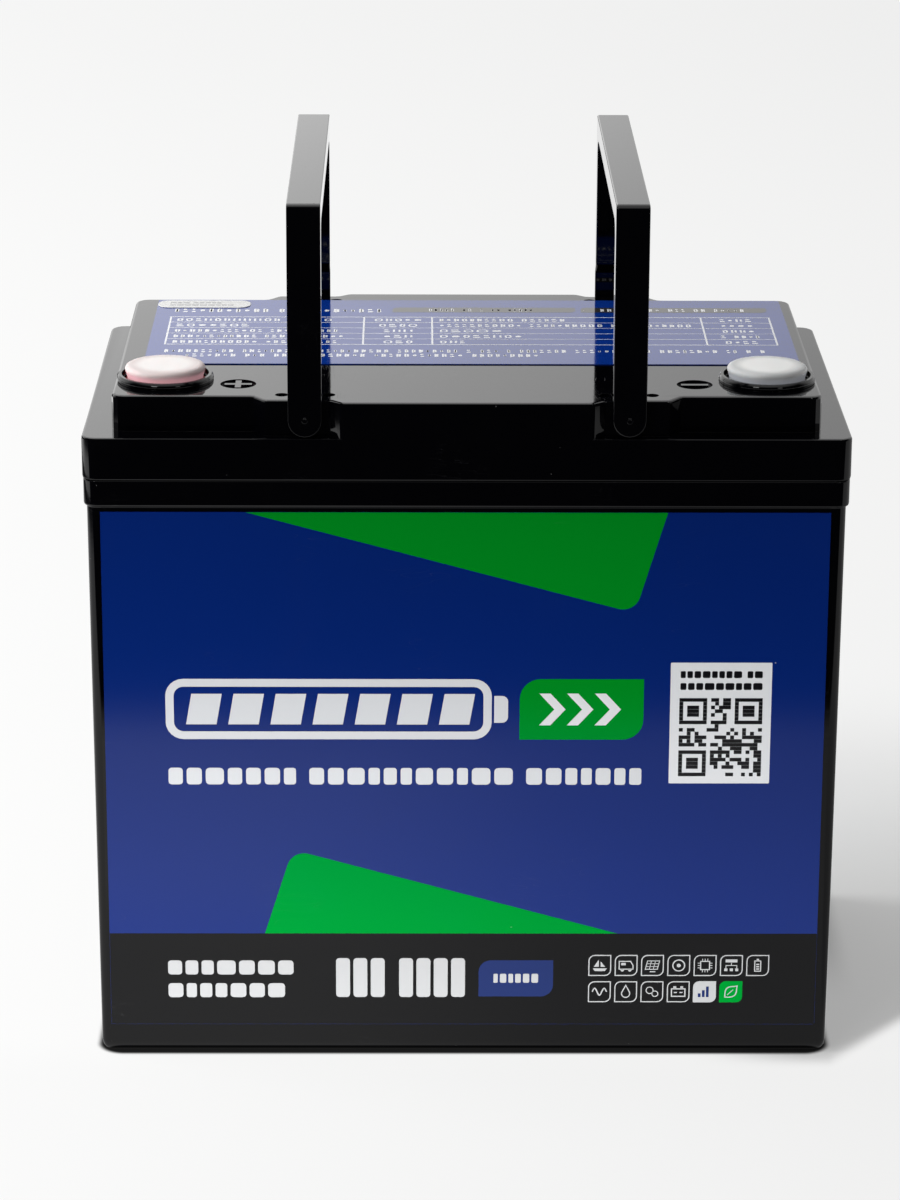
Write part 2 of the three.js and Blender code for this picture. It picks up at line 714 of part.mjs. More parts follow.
function bmsHeatsink() {
  const plate = softBox([BMS_X, BMS_Y, [SINK_Z, SINK_Z + 4]], 2, "z", 2);
  const standoffs = atScrews([SINK_Z + 3, SINK_Z + 7], 3.4, 14);
  const holes = atScrews([SINK_Z + 1.5, SINK_Z + 8], 1.75, 12);
  return cut(join(plate, ...standoffs), ...holes);
}
add("bms_heatsink", bmsHeatsink(), "aluminium");

// Board with its soldered parts, which start inside the board thickness.
function bmsCircuitBoard() {
  const board = cut(
    softBox([BMS_X, BMS_Y, [PCB_Z, PCB_Z + 1.6]], 2, "z", 2),
    ...atScrews([PCB_Z - 1, PCB_Z + 3], 1.75, 12),
  );
  const part = (spanX, spanY, top) => box(spanX, spanY, [PCB_Z + 1, PCB_Z + top]);
  const transistors = [];
  for (let k = 0; k < 8; k++) {
    const x = -50 + k * 12.6;
    for (const y of [-14, 2]) transistors.push(part([x, x + 9.4], [y, y + 10], 6));
  }
  const shunts = [[18, 21], [24, 27]].map((spanY) => part([-30, 30], spanY, 4.6));
  const plugHeader = part([-24, -8], [34, 41], 7);
  const moduleSocket = part([36, 54], [16, 32], 3);
  const roundPart = cylinderZ(-45, 26, [PCB_Z + 1, PCB_Z + 9], 4.4, 14);
  const pads = [PACK_PAD_X, CELL_PAD_X].map((x) => part(around(x, 8), [-34, -20], 2.4));
  return join(board, ...transistors, ...shunts, plugHeader, moduleSocket, roundPart, ...pads);
}
add("bms_circuit_board", bmsCircuitBoard(), "pcb");
add(
  "balance_plug",
  cut(
    box([-23.4, -8.6], [41.3, 49.0], [PCB_Z + 1.9, PCB_Z + 7.6]),
    box([-22, -10], [47.5, 50], [PCB_Z + 3, PCB_Z + 6.5]),
  ),
  "white",
);
add(
  "wireless_module",
  join(
    box([36.6, 53.4], [16.6, 31.4], [PCB_Z + 3.3, PCB_Z + 4.3]),
    box([39, 51], [18.4, 26.4], [PCB_Z + 4, PCB_Z + 6.3]),
  ),
  "pcb",
);

// Screw with a round head and a socket, as [radius, z].
const boardScrewProfile = [
  [0, SINK_Z + 1.8],
  [1.45, SINK_Z + 1.8],
  [1.45, PCB_Z + 1.9],
  [3.0, PCB_Z + 1.9],
  [3.0, PCB_Z + 3.1],
  [2.3, PCB_Z + 3.9],
  [1.2, PCB_Z + 3.9],
  [1.0, PCB_Z + 2.6],
  [0, PCB_Z + 2.6],
];
SCREWS.forEach(([x, y], k) =>
  add(`bms_screw_${k + 1}`, lathe(x, y, boardScrewProfile, 14), "steel"),
);

// ---------------------------------------------------------------- cable lugs
const LUG_Z = 193.4; // terminal lugs lie flat under the inserts
const LUG_CABLE_Z = LUG_Z - 1.5; // axis of their barrels
const LUG_T = 2.2;
const LUG_HALF_W = 4.4;
const BARREL_R = 4.6;
const BARREL_LENGTH = 9;
const BARREL_MOUTH_X = 72.2; // barrel end towards the middle of the battery
const BUSBAR_LUG_Y = POST_Y + 0.1;
const BUSBAR_CABLE_Y = BUSBAR_LUG_Y + 4.7; // axis of the barrels at the end links
const BUSBAR_CABLE_Z = 175;

function terminalLug(side) {
  const x = side * TERMINAL_X;
  const mouth = side * BARREL_MOUTH_X;
  const barrelX = [mouth, mouth + side * BARREL_LENGTH];
  const lug = join(
    cylinderZ(x, TERMINAL_Y, [LUG_Z, LUG_Z + LUG_T], 8.6, 24),
    box([x, mouth + side * 4], around(TERMINAL_Y, LUG_HALF_W), [LUG_Z, LUG_Z + LUG_T]),
    cylinderX(TERMINAL_Y, LUG_CABLE_Z, barrelX, BARREL_R, 14),
  );
  return cut(lug, cylinderZ(x, TERMINAL_Y, around(LUG_Z, 5), 3.2, 16));
}

// Headed screw that enters the insert from below, as [radius, z].
const lugScrewProfile = [
  [0, LUG_Z - 5.0],
  [4.2, LUG_Z - 5.0],
  [5.0, LUG_Z - 4.2],
  [5.0, LUG_Z - 0.2],
  [2.3, LUG_Z - 0.2],
  [2.3, 199.4],
  [0, 199.4],
];

// Flat strip on the back of the end link, its barrel pointing to the middle.
function busbarLug(side) {
  const x = side * CELL_X[3];
  const barrelX = around(x - side * 16, BARREL_LENGTH / 2);
  return join(
    box(
      [x + side * 8, x - side * 13],
      [BUSBAR_LUG_Y, BUSBAR_LUG_Y + LUG_T],
      around(BUSBAR_CABLE_Z, LUG_HALF_W),
    ),
    cylinderX(BUSBAR_CABLE_Y, BUSBAR_CABLE_Z, barrelX, BARREL_R, 14),
  );
}
for (const { name, side } of TERMINALS) {
  add(name + "_terminal_lug", terminalLug(side), "tin");
  add(name + "_lug_screw", lathe(side * TERMINAL_X, TERMINAL_Y, lugScrewProfile, 12), "steel");
  add(name + "_busbar_lug", busbarLug(side), "tin");
}

// ---------------------------------------------------------------- cables
// Every route is a list of [x, y, z] stations.
const CABLE_R = 3.6;
const PAD_CABLE_Z = PCB_Z + 6.4; // cable axis over the board pads

const positiveRoute = [
  [-55.6, BUSBAR_CABLE_Y, BUSBAR_CABLE_Z],
  [-51, BUSBAR_CABLE_Y + 0.2, 175.4],
  [-44.5, BUSBAR_CABLE_Y + 4, 181],
  [-45, -46, 188],
  [-51, -40.5, 191.3],
  [-60, TERMINAL_Y, LUG_CABLE_Z],
  [-71.8, TERMINAL_Y, LUG_CABLE_Z],
];
const cellNegativeRoute = [
  [55.6, BUSBAR_CABLE_Y, BUSBAR_CABLE_Z],
  [51.5, BUSBAR_CABLE_Y + 0.2, 175.3],
  [45.6, BUSBAR_CABLE_Y + 5, 179.4],
  [CELL_PAD_X, -42, 182.4],
  [CELL_PAD_X, -33, PAD_CABLE_Z],
  [CELL_PAD_X, -24, PAD_CABLE_Z],
];
const packNegativeRoute = [
  [PACK_PAD_X, -24, PAD_CABLE_Z],
  [PACK_PAD_X, -33, PCB_Z + 6.6],
  [17, -42, 186],
  [28, -47, 190.8],
  [44, -45, 192.0],
  [58, -39.5, LUG_CABLE_Z],
  [71.8, TERMINAL_Y, LUG_CABLE_Z],
];
add("positive_cable", cable(positiveRoute, CABLE_R), "redCable");
add("cell_negative_cable", cable(cellNegativeRoute, CABLE_R), "blackCable");
add("pack_negative_cable", cable(packNegativeRoute, CABLE_R), "blackCable");

// Sense wires: a loom from the plug round the left end, and two branches down the front.
const loomRoute = [
  [-16, 49.4, PCB_Z + 4.7], [-16, 53, PCB_Z + 4.4], [-30, 54, 183], [-70, 51.5, 183],
  [-86, 40, 183], [-88, 0, 183], [-86, -46, 182], [-88, -53, 178],
];
const upperBranch = [
  [-88, -52.5, 178.5], [-90, -56.6, 172], [-90.4, -57.8, 166],
  [-90, -57.8, 152], [-89.2, -57.8, 146],
];
const lowerBranch = [
  [-88, -52.5, 178.5], [-92.4, -56.8, 171], [-93.6, -58, 164],
  [-93.6, -58, 120], [-93, -58, 40], [-89.2, -57.8, 27],
];
add(
  "balance_harness",
  join(
    cable(loomRoute, 1.6, 6, 20),
    cable(upperBranch, 0.8, 5, 10),
    cable(lowerBranch, 0.8, 5, 16),
  ),
  "white",
);

const probeRoute = [
  [-38.5, -42.2, TRAY_Z + 3.1], [-30, -42.4, TRAY_Z + 3.4],
  [-20, -41, 177], [-14, -38.6, PCB_Z - 0.6],
];
const probeSpans = [[-46, -38], [-44, -40.5], [TRAY_Z + 1.8, TRAY_Z + 4.4]];
add(
  "temperature_probe",
  join(softBox(probeSpans, 1.2, "y", 3), cable(probeRoute, 0.7, 5, 10)),
  "blackCable",
);

export default battery;
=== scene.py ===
"""Boxed battery with two hinged handles and a milky cap over each terminal, on a pale floor.

The CAD pieces are in metres with Z up. The long side runs along X, the front faces -Y, and the
positive terminal is at the left (-X). Printed shapes are laid out in millimetres.
"""
import bpy
import bmesh
import json
import math
import random
from mathutils import Matrix, Vector


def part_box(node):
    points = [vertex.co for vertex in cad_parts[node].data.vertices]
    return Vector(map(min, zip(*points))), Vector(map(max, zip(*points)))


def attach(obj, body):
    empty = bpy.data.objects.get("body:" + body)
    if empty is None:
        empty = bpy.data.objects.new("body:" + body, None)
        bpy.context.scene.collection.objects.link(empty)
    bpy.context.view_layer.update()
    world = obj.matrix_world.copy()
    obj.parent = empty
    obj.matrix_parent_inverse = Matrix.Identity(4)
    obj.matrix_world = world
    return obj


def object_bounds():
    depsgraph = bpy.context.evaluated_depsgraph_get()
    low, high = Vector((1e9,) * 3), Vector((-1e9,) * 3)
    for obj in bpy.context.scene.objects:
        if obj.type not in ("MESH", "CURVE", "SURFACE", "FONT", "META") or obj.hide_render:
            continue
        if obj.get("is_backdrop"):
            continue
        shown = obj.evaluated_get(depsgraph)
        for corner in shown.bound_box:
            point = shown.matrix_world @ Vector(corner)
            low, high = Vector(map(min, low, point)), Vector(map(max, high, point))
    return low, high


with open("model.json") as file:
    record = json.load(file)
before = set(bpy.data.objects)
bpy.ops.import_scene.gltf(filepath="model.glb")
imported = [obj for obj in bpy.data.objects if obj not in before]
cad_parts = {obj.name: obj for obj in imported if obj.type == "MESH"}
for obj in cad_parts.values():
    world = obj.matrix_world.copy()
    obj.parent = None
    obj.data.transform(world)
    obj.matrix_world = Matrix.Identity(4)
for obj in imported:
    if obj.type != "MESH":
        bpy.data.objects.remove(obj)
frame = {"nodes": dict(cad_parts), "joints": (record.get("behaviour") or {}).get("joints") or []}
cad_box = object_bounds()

MM = 0.001
scene = bpy.context.scene
bodies = frame["nodes"]


# ------------------------------------------------------------------ shader helpers
class Shader:
    """The node tree of a material or world, with short calls for the nodes used here."""

    def __init__(self, owner, output):
        owner.use_nodes = True
        self.owner = owner
        self.tree = owner.node_tree
        self.tree.nodes.clear()
        self.output = self.node(output)

    def node(self, kind, **settings):
        made = self.tree.nodes.new("ShaderNode" + kind)
        for name, value in settings.items():
            setattr(made, name, value)
        return made

    def link(self, source, target):
        self.tree.links.new(source, target)

    def put(self, socket, value):
        """Link a socket, or set a plain value."""
        if isinstance(value, bpy.types.NodeSocket):
            self.link(value, socket)
        else:
            socket.default_value = value

    def math(self, operation, a, b=0.0, c=0.0, clamp=False):
        made = self.node("Math", operation=operation, use_clamp=clamp)
        for socket, value in zip(made.inputs, (a, b, c)):
            self.put(socket, value)
        return made.outputs[0]

    def add(self, a, b, clamp=False):
        return self.math("ADD", a, b, clamp=clamp)

    def sub(self, a, b):
        return self.math("SUBTRACT", a, b)

    def mul(self, a, b):
        return self.math("MULTIPLY", a, b)

    def mul_add(self, value, by, plus, clamp=False):
        return self.math("MULTIPLY_ADD", value, by, plus, clamp=clamp)

    def at_least(self, value, least):
        return self.math("MAXIMUM", value, least)

    def invert(self, value):
        return self.sub(1.0, value)

    def length(self, x, y):
        return self.math("SQRT", self.add(self.mul(x, x), self.mul(y, y)))

    def choose(self, mask, inside, outside):
        return self.add(self.mul(mask, inside), self.mul(self.invert(mask), outside))

    def coords(self):
        return self.node("TexCoord").outputs["Object"]

    def noise(self, vector, scale, detail=4.0, rough=0.55, distortion=0.0):
        made = self.node("TexNoise")
        self.put(made.inputs["Vector"], vector)
        made.inputs["Scale"].default_value = scale
        made.inputs["Detail"].default_value = detail
        made.inputs["Roughness"].default_value = rough
        made.inputs["Distortion"].default_value = distortion
        return made.outputs["Fac"]

    def mapped(self, vector, scale=(1, 1, 1), turn=(0, 0, 0), shift=(0, 0, 0)):
        made = self.node("Mapping")
        self.put(made.inputs["Vector"], vector)
        made.inputs["Scale"].default_value = scale
        made.inputs["Rotation"].default_value = turn
        made.inputs["Location"].default_value = shift
        return made.outputs[0]

    def shifted_coords(self, seed, shift):
        """Object coordinates moved by the seed, so that no two finishes share a pattern."""
        return self.mapped(self.coords(), shift=tuple(seed * part for part in shift))

    def ramp(self, value, over, to=(0.0, 1.0)):
        """Smooth step: the value running through `over` gives the range `to`."""
        made = self.node("MapRange", interpolation_type="SMOOTHSTEP")
        for socket, number in zip(made.inputs, (value, *over, *to)):
            self.put(socket, number)
        return made.outputs[0]

    def mix(self, factor, a, b):
        made = self.node("Mix", data_type="RGBA")
        self.put(made.inputs[0], factor)
        for socket, colour in ((made.inputs[6], a), (made.inputs[7], b)):
            self.put(socket, colour if isinstance(colour, bpy.types.NodeSocket) else (*colour, 1.0))
        return made.outputs[2]

    def tint(self, base, mask, strength, colour):
        return self.mix(self.mul(mask, strength), base, colour)

    def xyz(self, vector):
        made = self.node("SeparateXYZ")
        self.put(made.inputs[0], vector)
        return made.outputs

    def specks(self, vector, scale, share, size):
        """Mask of separate small grains, in the given share of the cells."""
        cells = self.node("TexVoronoi", feature="F1")
        self.put(cells.inputs["Vector"], vector)
        cells.inputs["Scale"].default_value = scale
        draw = self.node("SeparateColor")
        self.link(cells.outputs["Color"], draw.inputs[0])
        chosen = self.math("GREATER_THAN", draw.outputs[0], 1.0 - share)
        reach = self.mul(draw.outputs[1], size)
        near = self.ramp(cells.outputs["Distance"], over=(reach, self.mul(reach, 0.55)))
        return self.mul(chosen, near)

    def hairlines(self, vector, scale, stretch, turn, width=0.006):
        """Scratches: the contour of a stretched noise, kept where a coarse noise is high."""
        stretched = self.mapped(vector, scale=stretch, turn=turn)
        wander = self.noise(stretched, scale, detail=1.5, rough=0.4)
        line = self.ramp(self.math("ABSOLUTE", self.sub(wander, 0.5)), over=(width, 0.0))
        kept = self.ramp(self.noise(vector, scale=38.0, detail=2.0), over=(0.56, 0.68))
        return self.mul(line, kept)

    def bump(self, height, distance, strength=0.5):
        made = self.node("Bump")
        made.inputs["Strength"].default_value = strength
        made.inputs["Distance"].default_value = distance
        self.put(made.inputs["Height"], height)
        return made.outputs[0]

    def emission(self, colour, strength):
        made = self.node("Emission")
        self.put(made.inputs[0], (*colour, 1.0))
        self.put(made.inputs[1], strength)
        return made.outputs[0]

    def mix_shader(self, factor, a, b):
        made = self.node("MixShader")
        self.put(made.inputs[0], factor)
        self.link(a, made.inputs[1])
        self.link(b, made.inputs[2])
        return made.outputs[0]

    def principled(self, **values):
        """Principled surface on the output; an underscore in a name stands for a space."""
        made = self.node("BsdfPrincipled")
        for name, value in values.items():
            socket = made.inputs[name.replace("_", " ")]
            if isinstance(value, tuple) and len(value) == 3 and socket.type == "RGBA":
                value = (*value, 1.0)
            self.put(socket, value)
        self.link(made.outputs[0], self.output.inputs[0])


def new_material(name):
    return Shader(bpy.data.materials.new(name), "OutputMaterial")


# ------------------------------------------------------------------ kinds of finish
def gloss_black(name, seed, dust, scuff=1.0):
    """Polished black ABS: mirror-like, with faint flow marks, fine scuffs and a little dust."""
    t = new_material(name)
    place = t.shifted_coords(seed, (0.37, 0.21, 0.11))
    flow = t.noise(t.mapped(place, scale=(1, 1, 2.5)), scale=9.0, detail=3.0)
    blotch = t.noise(place, scale=31.0, detail=5.0, rough=0.6, distortion=0.6)
    smudge = t.ramp(blotch, over=(0.46, 0.78))
    grains = t.specks(place, scale=330.0, share=0.010 * dust, size=0.10)
    fine = t.specks(place, scale=800.0, share=0.010 * dust, size=0.18)
    dusty = t.add(grains, t.mul(fine, 0.7), clamp=True)
    lines = t.add(
        t.hairlines(place, scale=60.0, stretch=(1.0, 1.0, 9.0), turn=(0.5, 0.3, 0.0)),
        t.hairlines(place, scale=75.0, stretch=(8.0, 1.0, 1.0), turn=(0.1, 0.6, 0.9)),
        clamp=True,
    )
    lines = t.mul(lines, scuff)
    base = t.mix(flow, (0.0004, 0.0004, 0.0009), (0.0008, 0.0008, 0.0013))
    base = t.tint(base, smudge, strength=0.5, colour=(0.0014, 0.0014, 0.0018))
    base = t.tint(base, lines, strength=0.14, colour=(0.035, 0.035, 0.037))
    base = t.tint(base, dusty, strength=0.65, colour=(0.16, 0.16, 0.155))
    rough = t.mul_add(smudge, by=0.035, plus=0.045)
    rough = t.mul_add(lines, by=0.10, plus=rough)
    rough = t.mul_add(dusty, by=0.5, plus=rough, clamp=True)
    peel = t.noise(place, scale=420.0, detail=2.0, rough=0.5)
    height = t.mul_add(dusty, by=1.4, plus=t.mul(peel, 0.25))
    height = t.mul_add(lines, by=-0.35, plus=height)
    t.principled(
        Base_Color=base,
        Roughness=rough,
        IOR=1.5,
        Normal=t.bump(height, distance=0.00003, strength=0.55),
    )
    return t.owner


def film(name, colour, seed, rough=0.11, shift=0.10, tint=(1.0, 1.0, 1.0)):
    """Laminated film: slightly wavy gloss over ink that darkens unevenly by `shift`."""
    t = new_material(name)
    place = t.shifted_coords(seed, (0.23, 0.13, 0.31))
    wave = t.noise(place, scale=17.0, detail=2.0, rough=0.5)
    grain = t.noise(place, scale=1900.0, detail=2.0, rough=0.6)
    blotch = t.noise(place, scale=26.0, detail=4.0, rough=0.6, distortion=0.8)
    smudge = t.ramp(blotch, over=(0.5, 0.8))
    dusty = t.specks(place, scale=300.0, share=0.012, size=0.14)
    lines = t.hairlines(
        place, scale=48.0, stretch=(1.0, 1.0, 7.0), turn=(0.2, 1.1, 0.1), width=0.004
    )
    dark = tuple(part * (1.0 - shift) for part in colour)
    base = t.mix(t.mul_add(grain, by=0.5, plus=t.mul(wave, 0.5)), dark, colour)
    base = t.tint(base, dusty, strength=0.35, colour=(0.55, 0.55, 0.54))
    base = t.tint(base, lines, strength=0.025, colour=(0.5, 0.5, 0.52))
    uneven = t.mul_add(smudge, by=0.05, plus=rough)
    uneven = t.mul_add(dusty, by=0.25, plus=uneven)
    uneven = t.mul_add(lines, by=0.06, plus=uneven, clamp=True)
    peel = t.noise(place, scale=260.0, detail=3.0, rough=0.55)
    height = t.mul_add(wave, by=1.2, plus=t.mul(peel, 0.35))
    height = t.mul_add(dusty, by=1.2, plus=height)
    t.principled(
        Base_Color=base,
        Roughness=uneven,
        IOR=1.5,
        Specular_IOR_Level=0.5,
        Specular_Tint=tint,
        Coat_Weight=0.0,
        Coat_Roughness=rough * 0.8,
        Normal=t.bump(height, distance=0.00004),
    )
    return t.owner


def plain(name, a, b, rough, scale, metal=0.0, bump=0.00004, stretch=(1, 1, 1)):
    """Worn surface: two tones mixed by noise, uneven roughness and a fine bump."""
    rough_spread = 0.12
    t = new_material(name)
    place = t.mapped(t.coords(), scale=stretch)
    fine = t.noise(place, scale, detail=5.0, rough=0.6)
    coarse = t.noise(place, scale * 0.13, detail=3.0)
    base = t.mix(t.ramp(fine, over=(0.3, 0.7)), a, b)
    patches = t.ramp(coarse, over=(0.5, 0.8))
    base = t.tint(base, patches, strength=0.3, colour=tuple(part * 0.7 for part in a))
    t.principled(
        Base_Color=base,
        Roughness=t.mul_add(fine, by=rough_spread, plus=rough - rough_spread / 2, clamp=True),
        Metallic=metal,
        Normal=t.bump(fine, distance=bump),
    )
    return t.owner


def woven(name, a, b):
    """Flat woven band of over and under threads."""
    thread_frequency = 5200.0  # radians per metre, so about 0.6 mm between threads
    rough = 0.7
    t = new_material(name)
    place = t.coords()
    x, y, z = t.xyz(place)
    along = t.math("SINE", t.mul(t.add(x, z), thread_frequency))
    across = t.math("SINE", t.mul(y, thread_frequency))
    weave = t.mul_add(t.mul(along, across), by=0.5, plus=0.5)
    fuzz = t.noise(place, scale=900.0)
    t.principled(
        Base_Color=t.mix(weave, a, b),
        Roughness=t.mul_add(fuzz, by=0.2, plus=rough - 0.1),
        Sheen_Weight=0.3,
        Normal=t.bump(t.mul_add(fuzz, by=0.4, plus=weave), distance=0.0002, strength=0.6),
    )
    return t.owner


def cap_plastic(name, body, top, rim, skirt_and_glow):
    """Milky polyethylene: pale where thick, and coloured from beneath at its thin lower rim, which
    also has a painted glow in that colour.
    """
    t = new_material(name)
    place = t.coords()
    axes = list(zip(*(vertex.co for vertex in bodies[body].data.vertices)))
    low = Vector([min(axis) for axis in axes])
    high = Vector([max(axis) for axis in axes])
    centre = (low + high) / 2
    x, y, z = t.xyz(place)
    radius = t.length(t.sub(x, centre.x), t.sub(y, centre.y))
    cloud = t.noise(place, scale=160.0, rough=0.6)
    grain = t.noise(place, scale=900.0, detail=2.0)
    wobble = t.mul_add(cloud, by=0.0010, plus=-0.0005)
    dusty = t.specks(place, scale=420.0, share=0.03, size=0.14)
    base = t.mix(t.ramp(t.add(radius, wobble), over=(0.0108, 0.0066)), rim, top)
    thin = t.ramp(t.add(z, wobble), over=(high.z - 0.0008, high.z - 0.0026))
    base = t.mix(thin, base, skirt_and_glow)
    base = t.tint(base, dusty, strength=0.35, colour=(0.45, 0.44, 0.42))
    t.principled(
        Base_Color=base,
        Roughness=t.mul_add(cloud, by=0.12, plus=0.30),
        IOR=1.5,
        Subsurface_Weight=0.35,
        Subsurface_Radius=(0.9, 0.7, 0.65),
        Subsurface_Scale=0.0012,
        Transmission_Weight=0.06,
        # Painted glow: the thin lower band glows faintly in its own colour, standing in for light
        # let through from beneath.
        Emission_Color=skirt_and_glow,
        Emission_Strength=t.mul(thin, 0.33),
        Normal=t.bump(t.mul_add(grain, by=0.3, plus=cloud), distance=0.00006),
    )
    return t.owner


# ------------------------------------------------------------------ the finishes
BLUE = (0.0010, 0.0162, 0.1480)
GREEN = (0.0002, 0.2380, 0.0125)
TOP_BLUE = (0.0030, 0.0330, 0.2650)
GREY = (0.0012, 0.0013, 0.0022)
WHITE = (0.600, 0.612, 0.635)
PANEL_WHITE = (0.680, 0.692, 0.712)
STRIP_WHITE = (0.400, 0.404, 0.412)
TAG_BLUE = (0.0055, 0.0185, 0.108)
DARK_INK = (0.006, 0.006, 0.008)
TOP_WHITE = (0.86, 0.87, 0.89)
TOP_PILL = (0.030, 0.028, 0.026)

# `plain` and `woven` take two tones; `cap_plastic` takes the top, the rim and the thin lower band,
# whose colour also gives its painted glow.
finishes = {
    "case": gloss_black("case_gloss", seed=1.0, dust=0.8),
    "lid": gloss_black("lid_gloss", seed=2.0, dust=1.2),
    "handle": gloss_black("handle_gloss", seed=3.0, dust=1.5, scuff=0.9),
    "blue": film("label_blue_film", BLUE, seed=1.0),
    "green": film("label_green_film", GREEN, seed=1.3, tint=(0.0, 1.0, 0.95)),
    "strip": film("label_strip_film", GREY, seed=1.6),
    "white": film("label_white_ink", WHITE, seed=1.9, shift=0.03),
    "panel_white": film("label_panel_white_ink", PANEL_WHITE, seed=2.2, shift=0.03),
    "strip_white": film("label_strip_white_ink", STRIP_WHITE, seed=2.0, shift=0.03),
    "tag_blue": film("label_tag_ink", TAG_BLUE, seed=2.1),
    "ink": film("label_dark_ink", DARK_INK, seed=2.3),
    "top_blue": film("top_film_blue", TOP_BLUE, seed=3.0, rough=0.07),
    "top_white": film("top_film_white", TOP_WHITE, seed=3.3, rough=0.07, shift=0.03),
    "top_pill": film("top_film_pill", TOP_PILL, seed=3.6, rough=0.07),
    "paper": plain("sticker_paper_white", (0.78, 0.78, 0.77), (0.86, 0.86, 0.85),
                   rough=0.55, scale=500.0, bump=0.00002),
    "paper_ink": plain("sticker_ink_grey", (0.44, 0.44, 0.45), (0.52, 0.52, 0.52),
                       rough=0.5, scale=700.0),
    "cap_left": cap_plastic("cap_milky_left", "positive_terminal_cap", top=(0.89, 0.86, 0.84),
                            rim=(0.67, 0.59, 0.58), skirt_and_glow=(0.74, 0.42, 0.46)),
    "cap_right": cap_plastic("cap_milky_right", "negative_terminal_cap", top=(0.97, 0.97, 0.945),
                             rim=(0.57, 0.58, 0.58), skirt_and_glow=(0.34, 0.35, 0.38)),
    "red": plain("seal_red", (0.50, 0.008, 0.018), (0.62, 0.02, 0.03), rough=0.32, scale=300.0),
    "dark": plain("seal_dark", (0.012, 0.012, 0.014), (0.03, 0.03, 0.033), rough=0.4, scale=300.0),
    "brass": plain("insert_brass", (0.62, 0.42, 0.14), (0.78, 0.58, 0.26),
                   rough=0.28, scale=240.0, metal=1.0),
    "glue": plain("bead_glue", (0.05, 0.05, 0.055), (0.10, 0.10, 0.10),
                  rough=0.5, scale=200.0, bump=0.0002),
    "wrap": film("cell_blue_wrap", (0.02, 0.11, 0.42), seed=4.0, rough=0.25),
    "alu": plain("brushed_alu", (0.62, 0.63, 0.65), (0.80, 0.81, 0.83),
                 rough=0.34, scale=300.0, metal=1.0, stretch=(1, 1, 9)),
    "board": plain("glass_fibre", (0.30, 0.36, 0.11), (0.42, 0.48, 0.19), rough=0.55, scale=700.0),
    "copper": plain("busbar_copper_metal", (0.66, 0.28, 0.15), (0.86, 0.45, 0.28),
                    rough=0.28, scale=200.0, metal=1.0),
    "foam": plain("foam_dark", (0.015, 0.015, 0.017), (0.05, 0.05, 0.052),
                  rough=0.92, scale=1400.0, bump=0.0003),
    "strap": woven("strap_weave", (0.006, 0.09, 0.03), (0.02, 0.19, 0.07)),
    "pcb": plain("solder_mask", (0.002, 0.055, 0.02), (0.008, 0.12, 0.05), rough=0.34, scale=420.0),
    "nylon": plain("nylon_white", (0.66, 0.65, 0.58), (0.76, 0.75, 0.69), rough=0.42, scale=380.0),
    "steel": plain("zinc_steel", (0.45, 0.46, 0.48), (0.66, 0.67, 0.69),
                   rough=0.3, scale=420.0, metal=1.0),
    "tin": plain("tinned_copper", (0.60, 0.61, 0.62), (0.76, 0.77, 0.78),
                 rough=0.3, scale=300.0, metal=1.0),
    "red_wire": plain("sheath_red", (0.42, 0.008, 0.010), (0.55, 0.02, 0.02),
                      rough=0.42, scale=260.0),
    "black_wire": plain("sheath_black", (0.008, 0.008, 0.009), (0.02, 0.02, 0.021),
                        rough=0.42, scale=260.0),
    "white_wire": plain("sheath_white", (0.62, 0.62, 0.60), (0.74, 0.74, 0.72),
                        rough=0.42, scale=260.0),
}

FINISH_OF = {
    "case": "case", "lid": "lid", "handle_left": "handle", "handle_right": "handle",
    "positive_terminal_cap": "cap_left", "negative_terminal_cap": "cap_right",
    "positive_terminal_seal": "red", "negative_terminal_seal": "dark",
    "positive_terminal_insert": "brass", "negative_terminal_insert": "brass",
    "lid_adhesive_bead": "glue",
    "front_label": "blue", "rear_label": "blue", "top_label": "top_blue",
    "serial_sticker": "paper",
    "bms_tray": "board", "rear_insulation_board": "board", "front_insulation_board": "board",
    "bottom_foam_pad": "foam", "end_foam_left": "foam", "end_foam_right": "foam",
    "strap_front": "strap", "strap_rear": "strap",
    "bms_heatsink": "alu", "bms_circuit_board": "pcb", "wireless_module": "pcb",
    "balance_plug": "nylon", "balance_harness": "white_wire", "temperature_probe": "black_wire",
    "positive_cable": "red_wire", "cell_negative_cable": "black_wire",
    "pack_negative_cable": "black_wire",
}


def finish_for(name):
    """Finish of a body by its full name, else by how the name begins or ends."""
    if name in FINISH_OF:
        return FINISH_OF[name]
    if name.endswith("_can"):
        return "wrap"
    if name.endswith("_cover_plate"):
        return "alu"
    if name.startswith("cell_spacer"):
        return "board"
    if name.startswith("busbar"):
        return "copper"
    if name.endswith("_lug"):
        return "tin"
    return "steel"


for name, body in bodies.items():
    body.data.materials.clear()
    body.data.materials.append(finishes[finish_for(name)])


# ------------------------------------------------------------------ soft edges
# Moulded body: edge width in millimetres, segments.
SOFT_EDGES = {
    "case": (0.35, 3),
    "lid": (0.35, 3),
    "handle_left": (0.7, 4),
    "handle_right": (0.7, 4),
    "positive_terminal_cap": (0.3, 3),
    "negative_terminal_cap": (0.3, 3),
}


